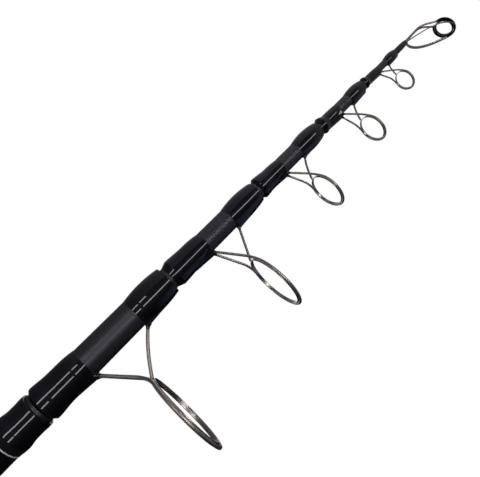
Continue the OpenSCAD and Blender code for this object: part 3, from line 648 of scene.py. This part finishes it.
def build_whippings():
    """The collar, with two swells, and on each section a rear whipping, which rises to its stop lip and falls
    away ahead of it, and a front one, a parabola along the tube."""
    start, end = span("butt_collar_whipping")

    def collar(x):
        back = swell(x - start, COLLAR_SWELL_AT, COLLAR_SWELL_HALF)
        front = swell(end - x, COLLAR_LIP_AT, COLLAR_LIP_HALF)
        return COLLAR_BUILD + COLLAR_SWELL * back + COLLAR_LIP * front

    piece = wound("collar_whipping", 1, start, end, collar)
    piece_on(piece, "butt", "lacquer", LACQUER, "butt_collar_whipping")
    for k in DRAWN:
        body = f"section_{k}"
        start, end = REAR_SPAN[k]

        def rear(x):
            u = x - start
            fade = np.clip(1 - (end - x) / FADE_LENGTH, 0, None)
            lip = (LIP_BUILD[k] - REAR_BUILD[k]) * swell(u, LIP_SLOPE[k], LIP_FALL[k])
            ahead = lip + REAR_BUILD[k] * (1 - fade ** 2)
            return EDGE_BUILD + np.where(u < LIP_SLOPE[k], LIP_BUILD[k] * u / LIP_SLOPE[k], ahead)

        cover = foot_cover(k, end - EXIT_IN, end - EXIT_IN - REAR_FOOT, FOOT_APART * WIRE[k])
        piece = wound(f"section_{k}_rear_wraps", k, start, end, rear, cover)
        piece_on(piece, body, "lacquer", LACQUER, f"section_{k}_rear_whipping")
        start, end = FRONT_SPAN[k]

        def front(x):
            u = (x - start) / (end - start)
            return EDGE_BUILD + FRONT_BUILD[k] * 4 * u * (1 - u)

        cover = foot_cover(k, start + EXIT_IN, start + EXIT_IN + FRONT_COVER[k], 0)
        piece = wound(f"section_{k}_front_wraps", k, start, end, front, cover)
        piece_on(piece, body, "lacquer", LACQUER, f"section_{k}_front_whipping")


# Guides
def seat_point(k, x, y, r):
    """Where the middle of a wire of radius r lies on the guide side of a tube, off the middle by y."""
    d = blank_radius(k, x) + WIRE_GAP + r * BEND_FULL
    return np.array([x, y, -np.sqrt(d * d - y * y)])


def foot_path(k, exit_x, end_x, y, target):
    """A ground foot along the tube, then a short bend up into the leg that points at the target."""
    end = seat_point(k, end_x, y, FOOT_END_R)
    seat = seat_point(k, exit_x, y, WIRE[k] / 2)
    back = seat + toward(seat, end) * EXIT_BEND
    ahead = seat + toward(seat, target) * EXIT_BEND
    return np.vstack([end, curve_between(back, seat, ahead)])


def foot_radius(k, path, exit_x, end_x):
    """Radius of a wire along its path: ground down along the foot."""
    share = np.clip((path[:, 0] - exit_x) / (end_x - exit_x), 0, 1)
    near = np.linalg.norm(path[:, 1:], axis=1) < blank_radius(k, exit_x) + WIRE[k]
    return np.where(near, WIRE[k] / 2 + (FOOT_END_R - WIRE[k] / 2) * share, WIRE[k] / 2)


def resin_bead(name, k, root, target):
    """The resin that has crept up a leg where it leaves the whipping: a fillet round the wire that thins with
    the square of the distance left, on a shallow oval root."""
    u = np.linspace(-RESIN_ROOT, 1, RESIN_STEPS)
    path = root + toward(root, target) * (RESIN_LENGTH * WIRE[k] * u[:, None] - EXIT_BEND)
    flare = WIRE[k] / 2 * (1 + RESIN_FLARE * (1 - np.clip(u, 0, 1)) ** 2) + RESIN_SKIN
    radius = flare * np.sqrt(1 + RESIN_END - np.clip(-u / RESIN_ROOT, 0, 1) ** 2)
    piece_on(swept(name, path, radius), f"section_{k}", "lacquer", LACQUER)


def on_hoop(centre, r, angle, top=UPWARD):
    """Points of a circle about a centre, at an angle from its top towards +Y."""
    angle = np.asarray(angle)[..., None]
    return centre + r * (np.sin(angle) * SIDEWAYS + np.cos(angle) * top)


def band(name, centre, outside, width, wall, tilt):
    """A ring of a flat section carried round a circle that is tilted from square to the rod. The section is a
    superellipse: fuller than an oval, with soft edges."""
    turn = turn_angles(BAND_STEPS)
    across = width / 2 * np.sign(np.cos(turn)) * np.abs(np.cos(turn)) ** BAND_POWER
    out = outside - wall / 2 + wall / 2 * np.sign(np.sin(turn)) * np.abs(np.sin(turn)) ** BAND_POWER
    ring = about_axis(across[:, None], out[:, None], turn_angles(RING_COLUMNS)[None])
    lean = np.array([[np.cos(tilt), 0, -np.sin(tilt)], [0, 1, 0], [np.sin(tilt), 0, np.cos(tilt)]])
    section = np.stack([across, out], -1)
    along = arc_length(np.vstack([section, section[:1]]))
    return skin(name, ring @ lean.T + centre, along, round_the_piece(RING_COLUMNS, outside))


def guide(k):
    """A guide: one bent wire that makes both rear legs and the hoop, a front leg, and the ring in the hoop.
    The rear legs are straight, the bends and the front leg parabolas, and the hoop an arc."""
    n = k - 1
    body = f"section_{k}"
    wire_r = WIRE[k] / 2
    centre, ring_r, width = ring_of(f"guide_{n}_ring")
    hoop_r = ring_r + WIRE_GAP + wire_r * BEND_FULL
    bend = LEG_BEND * WIRE[k]
    bend_angle = np.arctan(bend / hoop_r)
    split = np.radians(SPLIT[k])
    exit_x = REAR_SPAN[k][1] - EXIT_IN
    end_x = exit_x - REAR_FOOT

    # Half of the wire, on the +Y side: foot, leg, bend, and the hoop to its lowest point
    corner = on_hoop(centre, hoop_r / np.cos(bend_angle), split)
    foot = foot_path(k, exit_x, end_x, FOOT_APART * WIRE[k], corner)
    leg_end = corner + toward(corner, foot[-1]) * bend
    hoop_start = on_hoop(centre, hoop_r, split + bend_angle)
    leg_bend = curve_between(leg_end, corner, hoop_start, BEND_STEPS)
    hoop = on_hoop(centre, hoop_r, np.linspace(split + bend_angle, np.pi, HOOP_STEPS)[1:])
    half = resampled(np.vstack([foot, leg_bend, hoop]))
    path = np.vstack([half, half[-2::-1] * np.array([1, -1, 1])])
    piece = swept(f"guide_{n}_legs_and_hoop", path, foot_radius(k, path, exit_x, end_x))
    piece_on(piece, body, "wire", DARK_CHROME, f"guide_{n}_frame")
    for side, word in SIDES:
        mirror = np.array([1, side, 1])
        resin_bead(f"guide_{n}_resin_bead_{word}", k, foot[-1] * mirror, corner * mirror)

    exit_x = FRONT_SPAN[k][0] + EXIT_IN
    end_x = exit_x + FRONT_FOOT
    top = on_hoop(centre, hoop_r, 0)
    seat = seat_point(k, exit_x, 0, wire_r)
    ahead = toward(seat, top)
    pull = (seat + top) / 2 + 2 * FRONT_BOW[k] * np.array([ahead[2], 0, -ahead[0]])
    foot = foot_path(k, exit_x, end_x, 0, pull)
    path = resampled(np.vstack([foot, curve_between(foot[-1], pull, top, LEG_STEPS)[1:]]))
    piece = swept(f"guide_{n}_brace", path, foot_radius(k, path, exit_x, end_x))
    piece_on(piece, body, "wire", DARK_CHROME, f"guide_{n}_front_leg")
    resin_bead(f"guide_{n}_resin_bead_front", k, foot[-1], pull)
    eye = band(f"guide_{n}_eye", centre, ring_r, width, RING_WALL * WIRE[k], 0)
    piece_on(eye, body, "wire", POLISHED_STEEL, f"guide_{n}_ring")


# Tip-top
def tip_top():
    """The tip's whipping, tube, wires, hoop and ring. The whipping thins by a high power of its length, and
    the side wires are curves of the third degree."""
    centre, ring_r = ring_of("tip_ring")[:2]
    wire_r = TIP_WIRE / 2
    hoop_r = ring_r + WIRE_GAP + wire_r * BEND_FULL
    nose = MOUTH[7] + TIP_NOSE
    eye = band("tip_eye", centre, ring_r, TIP_RING_WIDTH, TIP_RING_WALL, TIP_TILT)
    piece_on(eye, "tip", "ceramic", CERAMIC, "tip_ring")
    top = np.array([-np.sin(TIP_TILT), 0, np.cos(TIP_TILT)])

    start, end = span("tip_whipping")
    tube_x = nose - TIP_TUBE_LENGTH
    tube_r = blank_radius(7, tube_x) + BOND + TIP_TUBE_WALL
    u = np.linspace(0, 1, TIP_WRAP_ROWS)
    thick = EDGE_BUILD + TIP_BUILD * (1 - u ** TIP_POWER)
    outer = np.stack([start + (end - start) * u, tube_r + thick], -1)
    inner = [[end, tube_r - EDGE_BUILD], [start, blank_radius(7, start) + BOND]]
    outline = np.vstack([[[start, tube_r]], outer, inner])
    piece_on(turned("tip_wraps", outline), "tip", "lacquer", LACQUER, "tip_whipping")
    outline = [[tube_x, 0], [tube_x, tube_r], [nose, tube_r], [nose + TIP_CONE, wire_r], [nose + TIP_CONE, 0]]
    cuts = [0, FINE_ROUND, TIP_CONE_ROUND, TIP_CONE_ROUND, 0]
    tip_tube = turned("tip_top_tube", rounded(outline, cuts), TIP_COLUMNS)
    piece_on(tip_tube, "tip", "wire", DARK_CHROME, "tip_frame")
    hoop = on_hoop(centre, hoop_r, np.linspace(TIP_SPLIT, TAU - TIP_SPLIT, TIP_HOOP_STEPS), top)
    piece_on(swept("tip_top_hoop", hoop, wire_r), "tip", "wire", BLACK_CHROME)

    # Wires of the +Y side, mirrored for the other: an upper wire and a bowed side wire
    pair = wire_r * BEND_FULL + WIRE_GAP
    start = np.array([nose, pair, wire_r / 2])
    part = np.array([MOUTH[7] + TIP_PART, pair, TIP_RISE])
    end = on_hoop(centre, hoop_r, TIP_SPLIT, top)
    bend = curve_between(part + toward(part, start) * TIP_BEND, part, part + toward(part, end) * TIP_BEND)
    upper = resampled(np.vstack([start, bend, end]))
    start = np.array([nose, wire_r / 2, -wire_r / 2])
    end = on_hoop(centre, hoop_r, TIP_LEG_SPLIT, top)
    run = np.cos(TIP_LEG_SPLIT) * SIDEWAYS - np.sin(TIP_LEG_SPLIT) * top
    first = nose * ALONG + TIP_LEG_START
    last = end - TIP_LEG_RUN * run - TIP_LEG_BACK * ALONG
    u = np.linspace(0, 1, TIP_LEG_STEPS)[:, None]
    leg = (1 - u) ** 3 * start + 3 * (1 - u) ** 2 * u * first + 3 * (1 - u) * u ** 2 * last + u ** 3 * end
    leg = resampled(leg)
    for side, word in SIDES:
        mirror = np.array([1, side, 1])
        piece_on(swept(f"tip_top_upper_wire_{word}", upper * mirror, wire_r), "tip", "wire", DARK_CHROME)
        broad = TIP_LEG_BROAD * mirror
        side_wire = swept(f"tip_top_side_wire_{word}", leg * mirror, wire_r, broad, *TIP_LEG_FLAT)
        piece_on(side_wire, "tip", "wire", DARK_CHROME)


# Handle
def polar(name, x, r):
    """A closed skin of rows round the axis: x gives each row's station, and r its radius at each column. Both
    follow the outside and come back along the bore."""
    columns = r.shape[1]
    middle = np.stack([x, r.mean(axis=1)], -1)
    along = arc_length(np.vstack([middle, middle[:1]]))
    points = about_axis(x[:, None], r, turn_angles(columns)[None])
    return skin(name, points, along, round_the_piece(columns, r.max()))


def screw(x, angle):
    """Height of a round screw thread, 0 to 1, at a station and an angle."""
    return (1 + np.cos(TAU * x / THREAD_PITCH - angle)) / 2


def off_axis(shift, radius, angle):
    """Distance from the axis to a circle whose centre lies a shift off the axis, on the guide side."""
    return shift * np.cos(angle) + np.sqrt(np.clip(radius ** 2 - (shift * np.sin(angle)) ** 2, 0, None))


def hood_rows(x0, x1, inside, sleeve, pocket_r):
    """Rows of a hood from its open face at x0 over its outside to the closed end at x1, after the rows of its
    pocket from the pocket's end to the face. inside is the radius where the hood has no pocket. The outside
    joins a circle off the axis with the round sleeve, sinks towards the closed end, and has rounded ends."""
    length = abs(x1 - x0)
    angle = turn_angles(SEAT_COLUMNS)[None]
    deep = x0 + np.sign(x1 - x0) * POCKET_DEPTH
    pocket_x = deep + (x0 - deep) * POCKET_ROWS[:, 0]
    hollow = np.maximum(off_axis(POCKET_SHIFT, pocket_r, angle), inside)
    pocket = inside + (hollow - inside) * POCKET_ROWS[:, 1:]
    u = np.linspace(0, 1, HOOD_ROWS)
    pocket_end = POCKET_DEPTH + HOOD_WALL
    slope = np.clip((u * length - pocket_end) / (length - pocket_end), 0, 1)
    hood_r = pocket_r + HOOD_WALL - HOOD_SLOPE * slope * (HOOD_EASE + (1 - HOOD_EASE) * slope)
    shell = fullest(off_axis(POCKET_SHIFT, hood_r[:, None], angle), sleeve, HOOD_BLEND)
    shell = np.minimum(shell, np.maximum(off_axis(POCKET_SHIFT, pocket_r + HOOD_WALL, angle), sleeve))
    edge = np.minimum(u, 1 - u)[:, None] * length / EDGE_ROUND
    shell = shell - EDGE_ROUND * (1 - np.sqrt(1 - np.clip(1 - edge, 0, 1) ** 2))
    return np.append(pocket_x, x0 + (x1 - x0) * u), np.vstack([pocket, shell])


def seat_body():
    """The reel seat: a threaded tube with a keyway, a flange at its rear and a fixed hood at its front. The
    thread fades at both ends, and the keyway has sloped sides."""
    low, high = corners("reel_seat_body")
    hood_start, hood_end = span("sliding_hood")
    sleeve = high[1]
    seat_r = sleeve - HOOD_WALL - RUN_GAP
    bore = seat_r - SEAT_WALL
    face = high[0] - (hood_end - hood_start)
    shoulder = low[0] + FLANGE_LENGTH
    angle = turn_angles(SEAT_COLUMNS)[None]
    flange = rounded([[low[0], bore], [low[0], sleeve], [shoulder, sleeve], [shoulder, seat_r]],
                     [FLANGE_ROUND, EDGE_ROUND, EDGE_ROUND, FLANGE_ROUND])
    # The shoulder's inner corner, and the point that leads to it, give way to the thread's first row
    flange = flange[:-(CORNER_STEPS + 3)]
    last_turn = span("lock_nut")[1] + HOOD_TRAVEL
    threaded = np.linspace(shoulder + FLANGE_ROUND, last_turn, THREAD_ROWS, endpoint=False)
    x = np.append(threaded, np.linspace(last_turn, face + POCKET_DEPTH, SEAT_ROWS))
    worn = np.clip((x - shoulder) / THREAD_FADE, 0, 1) * np.clip((last_turn - x) / THREAD_FADE, 0, 1)
    surface = seat_r + THREAD_HEIGHT * worn[:, None] * screw(x[:, None], angle)
    side = np.abs((angle - np.pi) * seat_r)
    way = (np.clip((KEY_WIDTH / 2 + RUN_GAP + SLOT_SIDE / 2 - side) / SLOT_SIDE, 0, 1)
           * np.clip((shoulder + SLOT_LENGTH - x[:, None]) / SLOT_SIDE, 0, 1))
    surface = np.minimum(surface, np.where(way > 0, seat_r - SLOT_DEPTH * way, np.inf))
    hood_x, hood_r = hood_rows(face, high[0], seat_r, sleeve, seat_r - POCKET_NARROW)
    rows_x = np.concatenate([flange[:, 0], x, hood_x, [high[0], low[0]]])
    rows_r = np.vstack([
        np.repeat(flange[:, 1:], SEAT_COLUMNS, 1), surface, hood_r, np.full((2, SEAT_COLUMNS), bore)])
    piece_on(polar("seat_with_fixed_hood", rows_x, rows_r), "butt", "seat", NYLON, "reel_seat_body")


def moving_hood():
    """The sliding hood: the same shell as the fixed one, turned about to open towards the tip. Its bore has a
    key opposite the pocket, which runs in the seat's keyway."""
    start, end = span("sliding_hood")
    sleeve = corners("reel_seat_body")[1][1]
    bore = sleeve - HOOD_WALL
    side = np.abs((turn_angles(SEAT_COLUMNS)[None] - np.pi) * bore)
    inside = bore - SLOT_DEPTH * np.clip((KEY_WIDTH / 2 - side) / KEY_SIDE, 0, 1)
    x, r = hood_rows(end, start, inside, sleeve, bore - RUN_GAP - POCKET_NARROW)
    piece = polar("moving_hood", np.append(x, start), np.vstack([r, inside]))
    piece_on(piece, "sliding_hood", "seat", NYLON, "sliding_hood")


def grooved_nut():
    """The lock nut: a rounded ring with a plain bore, and grooves along it for the fingers, each an arc of a
    circle that is cut out of the ring."""
    start, end = span("lock_nut")
    bore = corners("reel_seat_body")[1][1] - HOOD_WALL
    outside = bore + NUT_WALL
    pitch = TAU / NUT_GROOVES
    step = (turn_angles(GROOVE_COLUMNS * NUT_GROOVES) + pitch / 2) % pitch - pitch / 2
    reach = outside + GROOVE_R / 2
    cut = reach * np.cos(step) - np.sqrt(np.clip(GROOVE_R ** 2 - (reach * np.sin(step)) ** 2, 0, None))
    cut = np.where(np.abs(reach * np.sin(step)) < GROOVE_R, cut, outside)
    outline = rounded([[start, bore], [start, outside], [end, outside], [end, bore]],
                      [BORE_ROUND, NUT_ROUND, NUT_ROUND, BORE_ROUND])
    rows_r = np.minimum(outline[:, 1:], np.minimum(cut, outside)[None])
    rows_r = np.maximum(rows_r, np.minimum(outline[:, 1:], bore + NUT_FLOOR))
    piece_on(polar("grooved_nut", outline[:, 0], rows_r), "lock_nut", "alloy", ANODISED, "lock_nut")


def bond_bore(node):
    """Radii of a bore that fits the butt tube, at a solid's rear and front."""
    return [blank_radius(1, x) + BOND for x in span(node)]


def ring_piece(name, node, outside, cut, slot, finish):
    """A plain turned ring on the butt, as long as its solid, with rounded edges. outside gives its radius at
    the rear and at the front."""
    start, end = span(node)
    bore = bond_bore(node)
    outline = rounded([[start, bore[0]], [start, outside[0]], [end, outside[1]], [end, bore[1]]],
                      [FINE_ROUND, cut, cut, FINE_ROUND])
    piece_on(turned(name, outline), "butt", slot, finish, node)


def handle():
    """Seat, hood and nut, grips, winding checks, trim band, ferrule and butt cap."""
    seat_body()
    moving_hood()
    grooved_nut()
    for name, node, slot, finish, cut in (
            ("rear_handle", "rear_grip", "foam", FOAM, GRIP_ROUND),
            ("front_handle", "fore_grip", "foam", FOAM, GRIP_ROUND),
            ("rear_check", "rear_grip_check", "alloy", ANODISED, EDGE_ROUND)):
        outside = corners(node)[1][1]
        ring_piece(name, node, [outside, outside], cut, slot, finish)
    front = corners("fore_grip_check")[1]
    outside = [front[1], blank_radius(1, front[0]) + EDGE_ROUND]
    ring_piece("front_check", "fore_grip_check", outside, CHECK_ROUND, "alloy", ANODISED)
    # The line in the photograph is half as wide as the band, so the band's front half alone is made
    end, outside = corners("butt_trim_band")[1][:2]
    start = end - TRIM_SHOWN
    bore = bond_bore("butt_trim_band")[1]
    outline = rounded([[start, bore], [start, outside], [end, outside], [end, bore]], [FINE_ROUND] * 4)
    piece_on(turned("trim_band", outline), "butt", "alloy", SILVER, "butt_trim_band")
    cap()


def cap():
    """The ferrule on the butt, the plug that screws into it, and the rubber on the plug, which has ring
    grooves in its side and an end rounded by a quarter circle."""
    start, end = span("butt_ferrule")
    outside = corners("butt_ferrule")[1][1]
    thread_r = REAR_RADIUS[2] + FERRULE_CLEAR
    land = REAR[1] - BOND
    outline = rounded(
        [[start, thread_r], [start, outside], [end, outside], [end, blank_radius(1, end) + BOND],
         [land, blank_radius(1, land) + BOND], [land, thread_r]],
        [BORE_ROUND, EDGE_ROUND, EDGE_ROUND, FINE_ROUND, FINE_ROUND, FINE_ROUND])
    piece_on(turned("ferrule", outline), "butt", "alloy", ANODISED, "butt_ferrule")

    plug_start, plug_end = span("cap_plug")
    plug_r = thread_r - RUN_GAP
    flange_end = start - RUN_GAP
    seat = span("cap_seal_ring")[1] + SEAL_GAP
    head = rounded(
        [[plug_start, 0], [plug_start, outside], [flange_end, outside], [flange_end, plug_r - SEAL_THICKNESS],
         [seat, plug_r - SEAL_THICKNESS], [seat, plug_r - THREAD_HEIGHT]],
        [0, EDGE_ROUND, EDGE_ROUND, FINE_ROUND, FINE_ROUND, FINE_ROUND])
    x = np.linspace(seat + SEAL_GAP, plug_end - BORE_ROUND, PLUG_ROWS)
    ridge = plug_r - THREAD_HEIGHT * (1 - screw(x[:, None], turn_angles(PLUG_COLUMNS)[None]))
    rows_x = np.concatenate([head[:, 0], x, [plug_end, plug_end]])
    rows_r = np.vstack([
        np.repeat(head[:, 1:], PLUG_COLUMNS, 1), ridge, np.full((1, PLUG_COLUMNS), plug_r - PLUG_NOSE),
        np.zeros((1, PLUG_COLUMNS))])
    plug = close_poles(polar("threaded_plug", rows_x, rows_r))
    piece_on(plug, "butt_cap", "alloy", ANODISED, "cap_plug")

    start, end = span("cap_rubber")
    outside = corners("cap_rubber")[1][1]
    u = np.linspace(0, 1, BOOT_ROWS)
    x = start + RUBBER_ROUND + (end - start - RUBBER_ROUND - EDGE_ROUND) * u
    side = outside - RUBBER_RING_DEPTH * np.sin(np.pi * RUBBER_RINGS * u) ** RUBBER_RING_POWER
    bend = np.radians(np.linspace(90, 0, DOME_STEPS))[1:]
    dome_x = start + RUBBER_ROUND * (1 - np.sin(bend))
    dome_r = outside - RUBBER_ROUND * (1 - np.cos(bend))
    bevel = EDGE_ROUND / 3
    outline = np.vstack([
        [[start, 0], [start, outside - RUBBER_ROUND - RUBBER_FACE]], np.stack([dome_x, dome_r], -1),
        np.stack([x, side], -1), [[end - bevel, outside - bevel], [end, outside - EDGE_ROUND], [end, 0]]])
    piece_on(turned("cap_boot", outline), "butt_cap", "rubber", RUBBER, "cap_rubber")


build_tubes()
build_whippings()
handle()
for k in DRAWN:
    guide(k)
tip_top()

# Solids that keep their shape take a finish of their own
KEPT = {"reel_seat_arbors": FOAM, "cap_cushion": RUBBER, "cap_seal_ring": RUBBER}
for node, finish in KEPT.items():
    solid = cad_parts[node]
    solid.data.materials.clear()
    solid.data.materials.append(finish)


# Camera
def stand_at(thing, right, up, back, place):
    """Puts a camera or a lamp at a place in metres, turned by its three axes."""
    turn = np.eye(4)
    turn[:3] = np.stack([right, up, back, place], -1)
    thing.matrix_world = Matrix(turn.tolist())


def place_camera():
    """The camera stands below the rod's level on its -Y side, looks at the rod a little towards the tip, and
    is rolled so that the rod runs up the picture's diagonal."""
    out = np.array([0, -np.cos(CAMERA_BELOW), -np.sin(CAMERA_BELOW)])
    down = np.array([0, np.sin(CAMERA_BELOW), -np.cos(CAMERA_BELOW)])
    place = CAMERA_FOOT * ALONG + CAMERA_DISTANCE * out
    level = -np.cos(CAMERA_TURN) * out + np.sin(CAMERA_TURN) * ALONG
    tip_way = np.cos(CAMERA_TURN) * ALONG + np.sin(CAMERA_TURN) * out
    drop = np.arctan(ROD_OFFSET_PIXELS / FOCAL_PIXELS)
    ahead = np.cos(drop) * level + np.sin(drop) * down
    guide_way = np.cos(drop) * down - np.sin(drop) * level
    right = np.cos(CAMERA_ROLL) * tip_way + np.sin(CAMERA_ROLL) * guide_way
    up = np.sin(CAMERA_ROLL) * tip_way - np.cos(CAMERA_ROLL) * guide_way
    data = bpy.data.cameras.new("camera")
    data.sensor_width = SENSOR_WIDTH
    data.lens = FOCAL_PIXELS / PICTURE_WIDTH * SENSOR_WIDTH
    data.clip_start = 0.01
    data.clip_end = 50
    camera = put("camera", data)
    stand_at(camera, right, up, -ahead, place * MM)
    bpy.context.scene.camera = camera


# Studio: lamps and cards lie along the rod, in metres, at elevations in degrees on the camera's side
STRIP_WIDTH = 0.045
STRIP_DISTANCE = 0.36
STRIP_RADIANCE = 7
# Each strip lamp's elevation, and where it starts and ends along the rod
STRIPS = ((9, 0.17, 0.355), (9, 0.37, 0.43), (-26, 0.17, 0.35), (-26, 0.37, 0.95))
# The same for a broad lamp, and its width and radiance
SOFT_STRIP = (30, 0.52, 0.95)
SOFT_WIDTH = 0.25
SOFT_RADIANCE = 6
# Strength of the light from all round, and the floor's level, size and glow
SOFT_WORLD = 0.3
FLOOR_LEVEL = -0.9
FLOOR_SIZE = 12
FLOOR_GLOW = 0.76
CARD_RADIUS = 0.6
# Where the cards end towards the butt and the tip, and where the dark ones start
BUTT_CARD = -0.95
DARK_FROM = 0.05
TIP_CARD = 1.85
# Corners of a square about the origin
SQUARE = ((-1, -1), (1, -1), (1, 1), (-1, 1))
# Elevations where one card ends and the next starts
OVER_EDGE = 140
LEVEL_EDGE = 20
LOW_EDGE = -75
UNDER_EDGE = -125
BACK_EDGE = -186


def strip_light(name, elevation, start, end, width=STRIP_WIDTH, radiance=STRIP_RADIANCE):
    """A long lamp parallel to the rod, on the camera's side. Its power is worked out from its radiance."""
    data = bpy.data.lights.new(name, "AREA")
    data.shape = "RECTANGLE"
    data.size = end - start
    data.size_y = width
    data.energy = radiance * np.pi * data.size * width
    lamp = put(name, data)
    angle = np.radians(elevation)
    back = np.array([0, -np.cos(angle), np.sin(angle)])
    place = (start + end) / 2 * ALONG + STRIP_DISTANCE * back
    stand_at(lamp, ALONG, np.cross(back, ALONG), back, place)
    return lamp


def stand_card(name, mesh, finish):
    """Puts a card into the studio, where it shows in reflections alone."""
    mesh.materials.append(finish)
    card = put(name, mesh)
    card.visible_camera = False
    card.visible_diffuse = False
    card.visible_shadow = False


def sweep_card(name, low, high, finish, start, end=TIP_CARD):
    """A card bent round the rod's axis: an arc between two elevations, carried from one station on."""
    angle = np.radians(np.linspace(low, high, CARD_STEPS))[:, None]
    x = np.array([[start, end]])
    grid = np.stack(np.broadcast_arrays(x, -CARD_RADIUS * np.cos(angle), CARD_RADIUS * np.sin(angle)), -1)
    row = 2 * np.arange(CARD_STEPS - 1)
    quads = np.stack([row, row + 1, row + 3, row + 2], -1)
    mesh = bpy.data.meshes.new(name)
    mesh.from_pydata(grid.reshape(-1, 3).tolist(), [], quads.tolist())
    stand_card(name, mesh, finish)


def end_card(name, x, finish):
    """A square card across the open end of the bent cards, towards the tip or towards the butt."""
    corner = [(x, y * CARD_RADIUS, z * CARD_RADIUS) for y, z in SQUARE]
    mesh = bpy.data.meshes.new(name)
    mesh.from_pydata(corner, [], [(0, 1, 2, 3)])
    stand_card(name, mesh, finish)


def card_finish(name, butt_tone, tip_tone, start, end):
    """A card whose tone changes evenly along the rod, from one station to another."""
    made, tree = material(name)
    place = add(tree, "ShaderNodeTexCoord")
    part = add(tree, "ShaderNodeSeparateXYZ", {"Vector": place.outputs["Object"]})
    share = add(tree, "ShaderNodeMapRange", {"Value": part.outputs["X"], "From Min": start, "From Max": end})
    tone = add(tree, "ShaderNodeMix", {
        0: share.outputs[0], "A": linear(butt_tone), "B": linear(tip_tone)}, data_type="RGBA")
    shader = add(tree, "ShaderNodeEmission", {"Color": tone.outputs["Result"], "Strength": 1.0})
    add(tree, "ShaderNodeOutputMaterial", {"Surface": shader.outputs[0]})
    return made


def looked_at(tree):
    """1 where the camera looks, straight, in a mirror or through glass, and 0 for light on other things."""
    ray = add(tree, "ShaderNodeLightPath")
    seen = add(tree, "ShaderNodeMath", {0: ray.outputs["Is Camera Ray"], 1: ray.outputs["Is Glossy Ray"]},
               operation="MAXIMUM")
    seen = add(tree, "ShaderNodeMath", {0: seen.outputs[0], 1: ray.outputs["Is Transmission Ray"]},
               operation="MAXIMUM")
    return seen.outputs[0]


def pale_floor():
    """A wide white floor well below the rod, which is held up. It takes the rod's soft shadow, and glows a
    little where it is looked at, so that it reaches white."""
    made, tree = material("white_floor")
    diffuse = add(tree, "ShaderNodeBsdfDiffuse", {"Color": linear("#fafafa")})
    strength = add(tree, "ShaderNodeMath", {0: looked_at(tree), 1: FLOOR_GLOW}, operation="MULTIPLY")
    glow = add(tree, "ShaderNodeEmission", {"Color": linear("#ffffff"), "Strength": strength.outputs[0]})
    both = add(tree, "ShaderNodeAddShader", {0: diffuse.outputs[0], 1: glow.outputs[0]})
    add(tree, "ShaderNodeOutputMaterial", {"Surface": both.outputs[0]})
    half = FLOOR_SIZE / 2
    corner = [(x * half, y * half, FLOOR_LEVEL) for x, y in SQUARE]
    mesh = bpy.data.meshes.new("floor")
    mesh.from_pydata(corner, [], [(0, 1, 2, 3)])
    mesh.materials.append(made)
    put("floor", mesh)


def white_world():
    """White where it is looked at, and a dimmer soft light from all round otherwise."""
    world = bpy.data.worlds.new("studio")
    bpy.context.scene.world = world
    world.use_nodes = True
    tree = world.node_tree
    tree.nodes.clear()
    white = add(tree, "ShaderNodeBackground", {"Color": linear("#ffffff"), "Strength": 1.0})
    soft = add(tree, "ShaderNodeBackground", {"Color": linear("#ffffff"), "Strength": SOFT_WORLD})
    mixed = add(tree, "ShaderNodeMixShader", {0: looked_at(tree), 1: soft.outputs[0], 2: white.outputs[0]})
    add(tree, "ShaderNodeOutputWorld", {"Surface": mixed.outputs[0]})


place_camera()
for number, strip in enumerate(STRIPS):
    strip_light(f"strip_light_{number}", *strip)
# A broad lamp lights the matt tubes of the far sections, and isn't mirrored in the resin and the wires
strip_light("soft_light", *SOFT_STRIP, SOFT_WIDTH, SOFT_RADIANCE).visible_glossy = False
# Cards keep the resin dark beside and below the rod, and give it a grey sheen above and at the handle
VELVET = card_finish("black_velvet", "#0e0e12", "#98928c", start=0.9, end=1.4)
BOARD = card_finish("grey_board", "#4c4c54", "#a2a2aa", start=0.25, end=0.85)
DIM_BOARD = card_finish("dim_board", "#55555c", "#26262b", start=-0.6, end=DARK_FROM)
SKY = card_finish("blue_card", "#0e0e12", "#7a8098", start=0.42, end=0.62)
sweep_card("dark_card", LOW_EDGE, LEVEL_EDGE, VELVET, DARK_FROM)
sweep_card("low_card", UNDER_EDGE, LOW_EDGE, SKY, DARK_FROM)
sweep_card("back_card", BACK_EDGE, UNDER_EDGE, VELVET, DARK_FROM)
sweep_card("handle_card", BACK_EDGE, LEVEL_EDGE, DIM_BOARD, BUTT_CARD, DARK_FROM)
sweep_card("grey_card", LEVEL_EDGE, OVER_EDGE, BOARD, BUTT_CARD)
end_card("tip_end_card", TIP_CARD, VELVET)
end_card("butt_end_card", BUTT_CARD, DIM_BOARD)
pale_floor()
white_world()
bpy.context.scene.view_settings.view_transform = "Standard"
